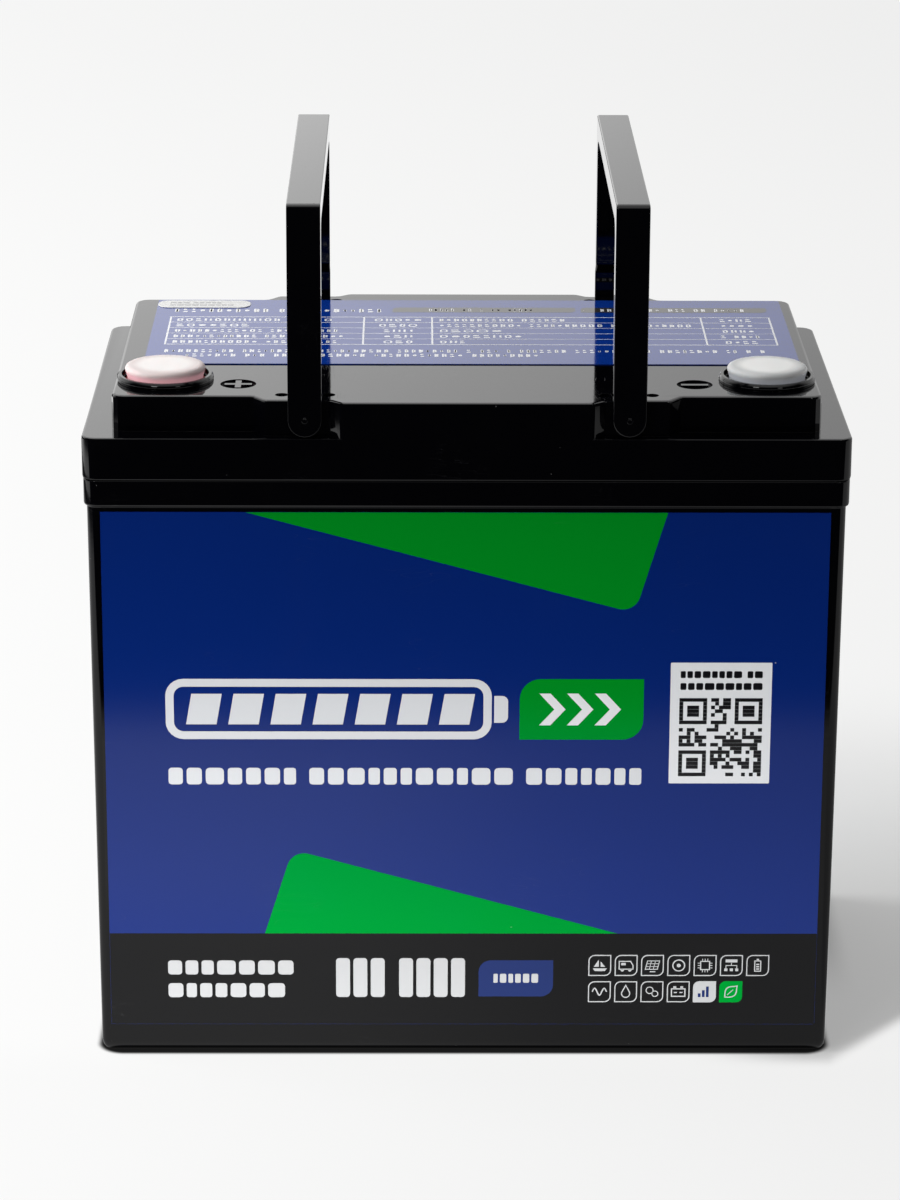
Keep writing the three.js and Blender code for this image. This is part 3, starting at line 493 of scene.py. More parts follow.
def soften(body, width, segments):
    """Merge the CAD facets into flats, then round the edges between them."""
    attributes = body.data.attributes
    for name in ("custom_normal", "sharp_edge", "sharp_face"):
        if name in attributes:
            attributes.remove(attributes[name])
    weld = body.modifiers.new("weld", "WELD")
    weld.merge_threshold = 0.000004
    flats = body.modifiers.new("flats", "DECIMATE")
    flats.decimate_type = "DISSOLVE"
    flats.angle_limit = math.radians(0.4)
    edges = body.modifiers.new("edges", "BEVEL")
    edges.width = width
    edges.segments = segments
    edges.limit_method = "ANGLE"
    edges.angle_limit = math.radians(28.0)
    edges.use_clamp_overlap = True
    edges.miter_outer = "MITER_ARC"
    normals = body.modifiers.new("normals", "WEIGHTED_NORMAL")
    normals.weight = 50
    normals.keep_sharp = False
    normals.mode = "FACE_AREA"


for name, (width, segments) in SOFT_EDGES.items():
    soften(bodies[name], width * MM, segments)


# ------------------------------------------------------------------ flat shapes
# A shape is a tuple of outlines: one for a filled shape, two for the sides of a closed line.
# Rounded corners are flagged as top right, top left, bottom left, bottom right.
ALL_CORNERS = (1, 1, 1, 1)
LEAF_CORNERS = (0, 1, 0, 1)
RIGHT_CORNERS = (1, 0, 0, 1)


def signed_area(points):
    following = points[1:] + points[:1]
    return 0.5 * sum(a[0] * b[1] - b[0] * a[1] for a, b in zip(points, following))


def filled(points):
    return (points if signed_area(points) > 0 else points[::-1],)


def rounded(x0, x1, y0, y1, radius=0.0, steps=5, corners=ALL_CORNERS):
    """Outline of a rounded rectangle, counter-clockwise from the top right."""
    # Corner x, y, start angle, and the signs that lead from it to the arc centre.
    stations = ((x1, y1, 0, -1, -1), (x0, y1, 90, 1, -1), (x0, y0, 180, 1, 1), (x1, y0, 270, -1, 1))
    points = []
    for (x, y, start, sign_x, sign_y), is_round in zip(stations, corners):
        if not is_round or radius <= 0:
            points.append((x, y))
            continue
        centre_x, centre_y = x + sign_x * radius, y + sign_y * radius
        for i in range(steps + 1):
            angle = math.radians(start + 90 * i / steps)
            points.append(
                (centre_x + radius * math.cos(angle), centre_y + radius * math.sin(angle))
            )
    return points


def block(*box, **rounding):
    """Filled rectangle x0, x1, y0, y1."""
    return filled(rounded(*box, **rounding))


def circle(x, y, radius, steps=20):
    angles = [math.radians(360.0 * i / steps) for i in range(steps)]
    return [(x + radius * math.cos(a), y + radius * math.sin(a)) for a in angles]


def line_sides(points, width, closed):
    """Left and right sides of a line of the given width."""
    count = len(points)
    left, right = [], []
    for i in range(count):
        here = Vector(points[i])
        before = Vector(points[i - 1]) if (closed or i > 0) else None
        after = Vector(points[(i + 1) % count]) if (closed or i < count - 1) else None
        inward = (here - before if before is not None else after - here).normalized()
        outward = (after - here).normalized() if after is not None else inward
        normal_in = Vector((-inward.y, inward.x))
        normal_out = Vector((-outward.y, outward.x))
        mitre = normal_in + normal_out
        mitre = mitre.normalized() if mitre.length > 1e-6 else normal_in
        reach = width / 2 / max(0.5, mitre.dot(normal_in))
        left.append(tuple(here + mitre * reach))
        right.append(tuple(here - mitre * reach))
    return left, right


def stroke(points, width, closed=False):
    left, right = line_sides(points, width, closed)
    if closed:
        return (right, left) if signed_area(right) > signed_area(left) else (left, right)
    return filled(right + left[::-1])


def fillet(points, radii, steps=8):
    """Outline with its corners rounded, one radius for each."""
    out = []
    for i, (point, radius) in enumerate(zip(points, radii)):
        corner = Vector(point)
        if radius <= 0:
            out.append(tuple(corner))
            continue
        back = (Vector(points[i - 1]) - corner).normalized()
        ahead = (Vector(points[(i + 1) % len(points)]) - corner).normalized()
        half = math.acos(max(-1, min(1, back.dot(ahead)))) / 2
        tangent = radius / math.tan(half)
        centre = corner + (back + ahead).normalized() * (radius / math.sin(half))
        start, end = corner + back * tangent, corner + ahead * tangent
        angle = math.atan2(start.y - centre.y, start.x - centre.x)
        end_angle = math.atan2(end.y - centre.y, end.x - centre.x)
        sweep = (end_angle - angle + math.pi) % (2 * math.pi) - math.pi
        for k in range(steps + 1):
            a = angle + sweep * k / steps
            out.append((centre.x + radius * math.cos(a), centre.y + radius * math.sin(a)))
    return out


# ------------------------------------------------------------------ places on the labels
RISE = 0.8  # the case's foot runs this far below the datum of the label layout
front_low, front_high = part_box("front_label")
LABEL_X0, LABEL_X1 = front_low.x / MM, front_high.x / MM
LABEL_Z0, LABEL_Z1 = front_low.z / MM - RISE, front_high.z / MM - RISE
TOP_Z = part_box("top_label")[1].z / MM
STICKER_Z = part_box("serial_sticker")[1].z / MM

# The film leans with the drafted wall: its outer face at the bottom and at the top edge.
front_points = [vertex.co / MM for vertex in bodies["front_label"].data.vertices]
Y_LOW = min(point.y for point in front_points if point.z < LABEL_Z0 + RISE + 1)
Y_HIGH = min(point.y for point in front_points if point.z > LABEL_Z1 + RISE - 1)


# Each takes the place across and up the label, and the height above its face.
def on_front(u, v, height):
    y = Y_LOW + (Y_HIGH - Y_LOW) * (v - LABEL_Z0) / (LABEL_Z1 - LABEL_Z0)
    return Vector((u, y - height, v + RISE)) * MM


def on_rear(u, v, height):
    point = on_front(u, v, height)
    return Vector((-point.x, -point.y, point.z))


def on_top(u, v, height):
    return Vector((u, v, TOP_Z + height)) * MM


def on_sticker(u, v, height):
    return Vector((u, v, STICKER_Z + height)) * MM


INK_SUNK = -0.03
INK_LAYER = 0.015


def add_object(name, bm, finish):
    """Object from a finished bmesh, with one material."""
    mesh = bpy.data.meshes.new(name)
    bm.to_mesh(mesh)
    bm.free()
    mesh.materials.append(finish)
    made = bpy.data.objects.new(name, mesh)
    scene.collection.objects.link(made)
    return made


def plate(name, shapes, place, finish, layer=1):
    """Closed thin plates for one ink colour; each layer stands above the one below."""
    bm = bmesh.new()
    for shape in shapes:
        rows = [
            [bm.verts.new(place(u, v, height)) for u, v in outline]
            for outline in shape
            for height in (INK_SUNK, INK_LAYER * layer)
        ]
        low, high = rows[:2]
        count = len(low)
        if len(shape) == 1:
            bm.faces.new(high)
            bm.faces.new(low[::-1])
        for i in range(count):
            j = (i + 1) % count
            if len(shape) == 2:
                inner_low, inner_high = rows[2:]
                bm.faces.new((high[i], high[j], inner_high[j], inner_high[i]))
                bm.faces.new((inner_low[i], inner_low[j], low[j], low[i]))
            bm.faces.new((low[i], low[j], high[j], high[i]))
            if len(shape) == 2:
                bm.faces.new((inner_high[i], inner_high[j], inner_low[j], inner_low[i]))
    bmesh.ops.recalc_face_normals(bm, faces=bm.faces)
    made = add_object(name, bm, finishes[finish])
    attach(made, "battery")


# ------------------------------------------------------------------ lines of mock print
def spread(x0, x1, words, gap, space, shares):
    """Left edge and width of each block, in words of the given counts, filling x0 to x1."""
    room = (x1 - x0) - space * (len(words) - 1) - gap * (sum(words) - len(words))
    unit = room / sum(shares)
    shares = iter(shares)
    x = x0
    for count in words:
        for i in range(count):
            width = next(shares) * unit
            yield x, width
            x += width + (gap if i < count - 1 else 0)
        x += space


def dashes(x0, x1, y0, y1, seed, words):
    """A line of filled blocks."""
    rng = random.Random(seed)
    height = y1 - y0
    shares = [rng.uniform(0.7, 1.25) for _ in range(sum(words))]
    return [
        block(x, x + width, y0, y1, radius=min(width, height) * 0.22, steps=3)
        for x, width in spread(x0, x1, words, height * 0.22, height * 0.75, shares)
    ]


def print_row(x0, x1, y0, y1, seed, words, thin=0.6):
    """A line of small print: open and filled blocks, none of them a letter."""
    rng = random.Random(seed)
    height = y1 - y0
    shares = [rng.uniform(0.75, 1.2) for _ in range(sum(words))]
    edge = thin / 2
    post = thin * 1.1
    out = []
    for x, width in spread(x0, x1, words, height * 0.30, height * 0.85, shares):
        kind = rng.choice(("open", "open", "bars", "short", "posts"))
        right = x + width
        if kind == "open" and width > 2.6 * thin:
            outline = rounded(x + edge, right - edge, y0 + edge, y1 - edge,
                              radius=min(width, height) * 0.3, steps=3)
            out.append(stroke(outline, thin, closed=True))
        elif kind == "bars":
            bar, radius = height * 0.34, height * 0.1
            out.append(block(x, right, y0, y0 + bar, radius=radius, steps=2))
            out.append(block(x, x + width * 0.8, y1 - bar, y1, radius=radius, steps=2))
        elif kind == "short":
            out.append(block(x + width * 0.1, x + width * 0.9, y0 + height * 0.22,
                             y1 - height * 0.22, radius=height * 0.16, steps=2))
        else:
            out.append(block(x, x + post, y0, y1))
            out.append(block(right - post, right, y0 + height * 0.1, y1 - height * 0.1))
    return out


# ------------------------------------------------------------------ pictograms
class Pen:
    """Draws in a box from -1 to 1 both ways; line widths are multiples of LINE."""

    LINE = 0.33

    def __init__(self, x, y, size):
        self.x, self.y, self.size = x, y, size
        self.shapes = []

    def at(self, points):
        return [(self.x + x * self.size, self.y + y * self.size) for x, y in points]

    def fill(self, *points):
        self.shapes.append(filled(self.at(points)))

    def block(self, x0, x1, y0, y1):
        self.fill((x0, y0), (x1, y0), (x1, y1), (x0, y1))

    def line(self, *points, width=1.0, closed=False):
        self.shapes.append(stroke(self.at(points), self.LINE * width, closed))

    def frame(self, x0, x1, y0, y1, width=1.0):
        self.line((x0, y0), (x1, y0), (x1, y1), (x0, y1), width=width, closed=True)

    def circle(self, x, y, radius, steps=20):
        return circle(*self.at([(x, y)])[0], radius * self.size, steps)

    def disc(self, x, y, radius):
        self.shapes.append(filled(self.circle(x, y, radius)))

    def ring(self, x, y, radius, width, steps=20):
        outline = self.circle(x, y, radius, steps)
        self.shapes.append(stroke(outline, self.LINE * width, closed=True))


def sail(pen):
    pen.fill((-0.1, -0.15), (-0.1, 0.62), (-0.6, -0.15))
    pen.fill((0.08, -0.15), (0.55, -0.15), (0.08, 0.45))
    pen.fill((-0.72, -0.32), (-0.5, -0.62), (0.5, -0.62), (0.72, -0.32))


def van(pen):
    pen.line((-0.7, -0.4), (0.7, -0.4), (0.7, 0.0), (0.45, 0.45), (-0.7, 0.45), closed=True)
    pen.block(-0.5, -0.05, 0.02, 0.28)
    for x in (-0.38, 0.38):
        pen.disc(x, -0.5, radius=0.17)


def panel(pen):
    pen.line((-0.72, -0.42), (0.5, -0.42), (0.72, 0.5), (-0.5, 0.5), width=0.8, closed=True)
    for f in (0.33, 0.66):
        y = -0.42 + 0.92 * f
        pen.line((-0.72 + 0.22 * f, y), (0.5 + 0.22 * f, y), width=0.6)
        pen.line((-0.72 + 1.22 * f, -0.42), (-0.5 + 1.22 * f, 0.5), width=0.6)
    pen.line((-0.25, -0.68), (0.3, -0.68))


def wheel(pen):
    pen.ring(0, 0, radius=0.6, width=1.1, steps=24)
    pen.disc(0, 0, radius=0.2)


def chip(pen):
    pen.frame(-0.45, 0.45, -0.45, 0.45)
    for f in (-0.26, 0.0, 0.26):
        for side in (1, -1):
            pen.line((f, 0.5 * side), (f, 0.74 * side), width=0.7)
        for side in (1, -1):
            pen.line((0.5 * side, f), (0.74 * side, f), width=0.7)


def tree(pen):
    pen.block(-0.6, 0.6, 0.34, 0.66)
    pen.line((0, 0.3), (0, 0.0), width=0.7)
    pen.line((-0.55, -0.3), (-0.55, 0.0), (0.55, 0.0), (0.55, -0.3), width=0.7)
    for x in (-0.55, 0.0, 0.55):
        pen.block(x - 0.16, x + 0.16, -0.62, -0.32)


def cell(pen):
    pen.frame(-0.3, 0.3, -0.62, 0.5)
    pen.block(-0.12, 0.12, 0.58, 0.74)
    for y in (-0.45, -0.2, 0.05):
        pen.block(-0.15, 0.15, y, y + 0.14)


def wave(pen):
    points = [
        (-0.72 + 1.44 * i / 24, 0.38 * math.sin(2 * math.pi * 1.5 * i / 24)) for i in range(25)
    ]
    pen.line(*points, width=1.2)


def drop(pen):
    angles = [math.radians(a) for a in range(20, -201, -20)]
    bowl = [(0.42 * math.cos(a), -0.2 + 0.42 * math.sin(a)) for a in angles]
    pen.line((0.0, 0.7), *bowl, closed=True)


def rings(pen):
    pen.ring(-0.24, 0.16, radius=0.36, width=0.9)
    pen.ring(0.30, -0.22, radius=0.30, width=0.9)


def battery_box(pen):
    pen.frame(-0.68, 0.68, -0.5, 0.32, width=1.1)
    pen.block(-0.5, -0.2, 0.42, 0.6)
    pen.block(0.2, 0.5, 0.42, 0.6)
    pen.block(-0.44, -0.14, -0.14, -0.02)
    pen.block(0.14, 0.44, -0.14, -0.02)


def steps(pen):
    for x, top in ((-0.45, -0.15), (-0.1, 0.15), (0.25, 0.5)):
        pen.block(x - 0.12, x + 0.12, -0.5, top)


def leaf(pen):
    def side(t, bulge):
        along = -0.5 + t
        out = bulge * math.sin(math.pi * t)
        return along - out, along + out

    stations = (0.15, 0.3, 0.45, 0.6, 0.75, 0.9)
    upper = [side(t, 0.34) for t in stations]
    lower = [side(t, -0.34) for t in reversed(stations)]
    pen.line((-0.5, -0.5), *upper, (0.55, 0.55), *lower, closed=True)
    pen.line((-0.3, -0.3), (0.2, 0.2), width=0.7)


PICTOGRAMS = (
    sail, van, panel, wheel, chip, tree, cell, wave, drop, rings, battery_box, steps, leaf,
)


def pictogram(draw, x, y, size):
    pen = Pen(x, y, size)
    draw(pen)
    return pen.shapes


# ------------------------------------------------------------------ front and rear labels
# In the functions below, ink(part, shapes, finish, layer) prints on one of the labels.
FIELD_INSET = 0.05
STRIP_TOP = 39.3


def print_field(ink):
    """Grey strip along the bottom, and a green wedge at the top and just above the strip."""
    bottom, top = LABEL_Z0 + FIELD_INSET, LABEL_Z1 - FIELD_INSET
    ink("strip", [block(LABEL_X0 + FIELD_INSET, LABEL_X1 - FIELD_INSET, bottom, STRIP_TOP)],
        "strip")
    tip = 5.2
    upper = fillet([(-66.0, top), (60.0, top), (50.6, 143.2)], [0, 0, tip])
    foot = STRIP_TOP + 0.02
    lower = fillet([(-61.4, foot), (-52.7, 66.9), (47.0, foot)], [0, tip, 0])
    ink("wedges", [filled(upper), filled(lower)], "green")


def print_gauge(ink):
    """Level gauge with seven leaning bars, a tag with chevrons and a line of print below."""
    outline = rounded(-89.5, 6.6, 104.1, 120.9, radius=4.2, steps=6)
    gauge = [stroke(outline, 2.5, closed=True),
             block(8.6, 12.8, 108.2, 116.8, radius=1.8, steps=4, corners=RIGHT_CORNERS)]
    bar_width, lean, low, high = 9.2, 1.7, 107.6, 117.4
    for i in range(7):
        x = -84.6 + i * 12.75
        gauge.append(filled([(x, low), (x + bar_width, low),
                             (x + bar_width + lean, high), (x + lean, high)]))
    ink("gauge", gauge, "white")
    ink("tag", [block(16.3, 53.8, 102.8, 122.2, radius=6.4, steps=7, corners=LEAF_CORNERS)],
        "green")
    thick, point, low, middle, high = 3.4, 4.6, 107.4, 112.5, 117.6
    chevrons = [
        filled([(x, low), (x + thick, low), (x + thick + point, middle),
                (x + thick, high), (x, high), (x + point, middle)])
        for x in (22.2, 30.6, 39.0)
    ]
    ink("chevrons", chevrons, "panel_white", 2)
    ink("line", dashes(-90.2, 53.5, 88.2, 93.6, seed=11, words=(7, 11, 7)), "white")


PATTERN_CELLS = 21
CORNER_CELLS = 7


def corner_square(column, row):
    """Whether a cell in or beside a corner square is dark; None away from all three squares."""
    far = PATTERN_CELLS - CORNER_CELLS
    for first_column, first_row in ((0, 0), (0, far), (far, far)):
        a, b = column - first_column, row - first_row
        if -1 <= a <= 7 and -1 <= b <= 7:
            if not (0 <= a <= 6 and 0 <= b <= 6):
                return False
            return a in (0, 6) or b in (0, 6) or (2 <= a <= 4 and 2 <= b <= 4)
    return None


def print_panel(ink):
    """White panel with a block pattern that encodes nothing, and two lines of print."""
    ink("panel", [block(61.8, 92.4, 88.7, 127.5, radius=0.3, steps=2)], "panel_white")
    rng = random.Random(2207)
    left, bottom, step = 64.6, 91.0, 25.2 / PATTERN_CELLS
    seam = 0.02  # keeps the rows apart
    cells = []
    for row in range(PATTERN_CELLS):
        start = None
        for column in range(PATTERN_CELLS + 1):
            dark = False
            if column < PATTERN_CELLS:
                dark = corner_square(column, row)
                if dark is None:
                    dark = rng.random() < 0.5
            if dark and start is None:
                start = column
            if not dark and start is not None:
                cells.append(block(left + start * step, left + column * step,
                                   bottom + row * step + seam, bottom + (row + 1) * step - seam))
                start = None
    cells += dashes(64.8, 89.6, 122.6, 124.8, seed=31, words=(8, 2))
    cells += dashes(64.8, 89.6, 118.8, 121.0, seed=32, words=(9,))
    ink("pattern", cells, "ink", 2)


def print_strip(ink):
    """On the strip: two short lines, a row of tall blocks and a small tag."""
    words = dashes(-91.4, -52.7, 25.6, 30.3, seed=41, words=(7,))
    words += dashes(-91.4, -55.4, 18.0, 22.7, seed=42, words=(7,))
    x = -39.6
    for count in (3, 4):
        for _ in range(count):
            words.append(block(x, x + 4.3, 18.1, 31.1, radius=1.0, steps=3))
            x += 5.35
        x += 3.4
    ink("words", words, "strip_white", 2)
    ink("small_tag", [block(4.4, 27.4, 18.3, 30.4, radius=3.8, steps=6, corners=LEAF_CORNERS)],
        "tag_blue", 2)
    ink("small_line", dashes(9.0, 22.8, 22.9, 25.9, seed=43, words=(6,)), "strip_white", 3)


ICON_HALF = 3.55
ICON_PITCH = 8.13
ICON_COLUMNS = 7


def icon_frame(x, z, inset, radius):
    return rounded(x - ICON_HALF + inset, x + ICON_HALF - inset, z - ICON_HALF + inset,
                   z + ICON_HALF - inset, radius=radius, steps=4, corners=LEAF_CORNERS)


def print_icons(ink):
    """Two rows of pictograms; the last two stand on filled tiles."""
    lines, on_green, white_tiles, green_tiles, on_white = [], [], [], [], []
    for i, draw in enumerate(PICTOGRAMS):
        x = 41.8 + i % ICON_COLUMNS * ICON_PITCH
        z = 28.7 if i < ICON_COLUMNS else 19.9
        tile = filled(icon_frame(x, z, inset=0, radius=1.9))
        if draw is steps:
            white_tiles.append(tile)
            on_white += pictogram(draw, x, z, ICON_HALF)
        elif draw is leaf:
            green_tiles.append(tile)
            on_green += pictogram(draw, x, z, ICON_HALF)
        else:
            outline = icon_frame(x, z, inset=0.2, radius=1.8)
            lines.append(stroke(outline, Pen.LINE, closed=True))
            lines += pictogram(draw, x, z, ICON_HALF * 0.86)
    ink("icons", lines + white_tiles, "strip_white", 2)
    ink("icon_green", green_tiles, "green", 2)
    ink("icon_lines", on_green, "strip_white", 3)
    ink("icon_dark", on_white, "tag_blue", 3)


def print_side(side, place):
    """Everything printed on one large label."""
    def ink(part, shapes, finish, layer=1):
        plate(f"{side}_label_{part}", shapes, place, finish, layer)

    for print_part in (print_field, print_gauge, print_panel, print_strip, print_icons):
        print_part(ink)


print_side("front", on_front)
print_side("rear", on_rear)


# ------------------------------------------------------------------ top label and sticker
TABLE_X0, TABLE_X1, TABLE_Y0, TABLE_Y1 = -93.2, 97.3, 0.2, 35.6
TABLE_CUTS = (-31.7, -10.1, 75.5)
RULE = 0.55
# Left text end and words, second column count, right text end and words, last column width, words.
TABLE_ROWS = (
    (-42.0, (11, 5), 5, 32.0, (10, 6), 10.0, (4,)),
    (-68.0, (7,), 4, 71.8, (11, 10, 3, 7), 10.0, (4,)),
    (-40.0, (12, 3, 6), 3, 12.0, (5,), 10.0, (4,)),
    (-38.0, (12, 3, 7), 3, 18.0, (8,), 12.0, (1, 4)),
    (-40.0, (11, 3, 6), 3, 0.0, (3,), 10.0, (4,)),
)
ROW_HEIGHT = (TABLE_Y1 - TABLE_Y0) / len(TABLE_ROWS)


def table_rules():
    """Outer frame, row rules broken at the columns, and column rules."""
    half = RULE / 2
    gap = 0.02  # keeps crossing rules apart
    corners = [(TABLE_X0, TABLE_Y0), (TABLE_X1, TABLE_Y0), (TABLE_X1, TABLE_Y1),
               (TABLE_X0, TABLE_Y1)]
    rules = [stroke(corners, RULE, closed=True)]
    edges = [TABLE_X0 + half, *TABLE_CUTS, TABLE_X1 - half]
    for i in range(1, len(TABLE_ROWS)):
        y = TABLE_Y0 + ROW_HEIGHT * i
        for left, right in zip(edges, edges[1:]):
            x0 = left + (half if left in TABLE_CUTS else 0) + gap
            x1 = right - (half if right in TABLE_CUTS else 0) - gap
            rules.append(block(x0, x1, y - RULE * 0.35, y + RULE * 0.35))
    for x in TABLE_CUTS:
        rules.append(block(x - half, x + half, TABLE_Y0 + half + gap, TABLE_Y1 - half - gap))
    return rules


def table_text():
    second_x = -20.8
    last_x = (TABLE_CUTS[2] + TABLE_X1) / 2
    out = []
    for i, row in enumerate(TABLE_ROWS):
        left_end, left_words, count, right_end, right_words, last_width, last_words = row
        y1 = TABLE_Y1 - ROW_HEIGHT * i - 2.1
        y0 = y1 - 3.3
        width = 3.0 * count
        out += print_row(TABLE_X0 + 2.2, left_end, y0, y1, 60 + i, left_words)
        out += print_row(second_x - width / 2, second_x + width / 2, y0, y1, 70 + i, (count,))
        out += print_row(TABLE_CUTS[1] + 2.4, right_end, y0, y1, 80 + i, right_words)
        out += print_row(last_x - last_width / 2, last_x + last_width / 2, y0, y1, 90 + i,
                         last_words)
    return out


def print_top():
    pills = [block(x0, x1, 42.2, 48.6, radius=2.4, steps=6, corners=LEAF_CORNERS)
             for x0, x1 in ((-22.7, 35.9), (37.7, TABLE_X1))]
    plate("top_label_pills", pills, on_top, "top_pill")
    text = print_row(-92.4, -26.4, 42.0, 46.4, seed=51, words=(11, 12), thin=0.8)
    text += print_row(-11.0, 22.0, 43.5, 47.0, seed=52, words=(5, 2, 1, 2, 5), thin=0.5)
    text += print_row(44.0, 90.0, 43.5, 47.0, seed=53, words=(6, 2, 3, 2, 5), thin=0.5)
    text += table_rules() + table_text()
    long_line = (10, 10, 10, 9, 1, 3, 1, 7, 11, 8, 2, 1, 1)
    text += print_row(-92.9, 92.6, -9.8, -6.2, seed=101, words=long_line, thin=0.55)
    text += print_row(-86.2, 22.4, -15.1, -11.5, seed=102, words=(7, 3, 12, 12, 9), thin=0.55)
    plate("top_label_print", text, on_top, "top_white", 2)


def print_sticker():
    text = dashes(-94.4, -78.0, 53.0, 54.5, seed=111, words=(3, 5))
    text += dashes(-94.4, -74.0, 50.0, 51.4, seed=112, words=(9,))
    plate("sticker_print", text, on_sticker, "paper_ink")


print_top()
print_sticker()


# ------------------------------------------------------------------ small moulded details
TURNED_SIDES = 28
# Radius and height in millimetres, from the base up.
PIVOT_MARK = [(0, -0.25), (0.95, -0.25), (0.95, 0.02), (0.82, 0.10), (0.62, 0.05),
              (0.45, -0.02), (0.25, -0.03), (0, -0.02)]
GATE_MARK = [(0, -0.5), (1.6, -0.5), (1.6, -0.18), (1.35, -0.06), (0.7, 0.0), (0, 0.02)]


def turned_piece(name, profile, centre, axis, finish, body):
    """Closed turned shape about an axis through the centre, which is in millimetres."""
    bm = bmesh.new()
    up = Vector(axis).normalized()
    across = up.orthogonal().normalized()
    along = up.cross(across)
    middle = Vector(centre) * MM
    angles = [2 * math.pi * i / TURNED_SIDES for i in range(TURNED_SIDES)]
    rings = []
    for radius, height in profile:
        rise = up * height * MM
        if radius < 1e-6:
            rings.append([bm.verts.new(middle + rise)])
            continue
        rings.append([
            bm.verts.new(middle + (across * math.cos(a) + along * math.sin(a)) * radius * MM + rise)
            for a in angles
        ])
    for a, b in zip(rings, rings[1:]):
        for i in range(TURNED_SIDES):
            j = i + 1
            corners = (a[i % len(a)], a[j % len(a)], b[j % len(b)], b[i % len(b)])
            corners = list(dict.fromkeys(corners))  # a ring of one point repeats itself
            if len(corners) > 2:
                bm.faces.new(corners)
    bmesh.ops.recalc_face_normals(bm, faces=bm.faces)
    made = add_object(name, bm, finishes[finish])
    for face in made.data.polygons:
        face.use_smooth = True
    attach(made, body)


def pivot_marks():
    """Round mark on the front and rear ends of each handle's hinge line."""
    hinges = {j["name"]: j["pos_m"] for j in frame["joints"] if j["type"] == "hinge"}
    for side in ("left", "right"):
        handle = "handle_" + side
        x, _, z = (value / MM for value in hinges[handle + "_hinge"])
        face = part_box(handle)[1].y / MM
        for end, sign in (("front", -1), ("rear", 1)):
            turned_piece(f"{handle}_{end}_pivot_mark", PIVOT_MARK, (x, sign * face, z),
                         (0, sign, 0), "handle", handle)


def gate_marks():
    """Gate mark in the middle of each cap."""
    for side, finish in (("positive", "cap_left"), ("negative", "cap_right")):
        low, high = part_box(side + "_terminal_cap")
        centre = ((low.x + high.x) / 2 / MM, (low.y + high.y) / 2 / MM, high.z / MM)
        turned_piece(side + "_cap_gate_mark", GATE_MARK, centre, (0, 0, 1), finish,
                     side + "_cap")


pivot_marks()
gate_marks()


# ------------------------------------------------------------------ floor
FLOOR_HALF = 9.0
FOOT_X, FOOT_Y = 0.1055, 0.0595  # half sizes from which the gap to the foot is measured


def floor_seen(t, x, y, painted_contact_shade):
    """Brightness seen directly: fades with distance, to the right and near the foot."""
    depth = t.at_least(t.add(y, 1.26), 0.3)  # roughly the distance in front of the camera
    slope = t.math("DIVIDE", x, depth)
    slope = t.at_least(t.math("MINIMUM", slope, 0.15), -0.15)
    level = t.mul_add(slope, by=-0.30, plus=0.952)
    level = t.sub(level, t.ramp(y, over=(0.7, 1.9), to=(0.0, 0.024)))
    level = t.sub(level, t.ramp(y, over=(-0.05, -0.09), to=(0.0, 0.022)))
    # Painted contact shadow: darker close to the foot.
    level = t.mul(level, t.ramp(painted_contact_shade, over=(0.0, 1.0), to=(1.0, 0.012)))
    # Tight shadow beside and behind the right half.
    inner = t.mul(t.ramp(x, over=(0.0, 0.05)), t.ramp(y, over=(-0.03, 0.06), to=(0.0, 0.6)))
    tight = t.mul(t.ramp(x, over=(0.1290, 0.1190)), inner)
    return t.mul(level, t.invert(t.mul(tight, t.ramp(y, over=(0.16, 0.10)))))


def floor_thrown(t, x, y, abs_y, painted_contact_shade):
    """Light thrown onto matt surfaces: strongest close to the long sides, more at the left."""
    dim = 0.14
    near_sides = t.mul(t.ramp(abs_y, over=(0.04, 0.07)), t.ramp(abs_y, over=(0.27, 0.17)))
    thrown = t.ramp(x, over=(-0.20, 0.20), to=(5.40, 3.00))
    thrown = t.mul_add(t.sub(thrown, dim), by=near_sides, plus=dim)
    beside = t.ramp(y, over=(-0.07, -0.04), to=(0.0, 0.76))
    # Painted contact shadow: less light thrown close to the foot.
    return t.mul(t.add(thrown, beside), t.ramp(painted_contact_shade, over=(0.0, 1.0), to=(1.0, 0.02)))


def floor_shade(t, x, y):
    """Mask of the shadow on the right, with a slanting front edge."""
    past_case = t.at_least(t.sub(x, 0.113), 0.0)
    slant = t.mul_add(past_case, by=-1.25, plus=y)
    shade = t.mul(t.ramp(x, over=(0.060, 0.112)), t.ramp(slant, over=(-0.082, -0.064)))
    return t.mul(shade, t.ramp(y, over=(0.34, 0.08)))


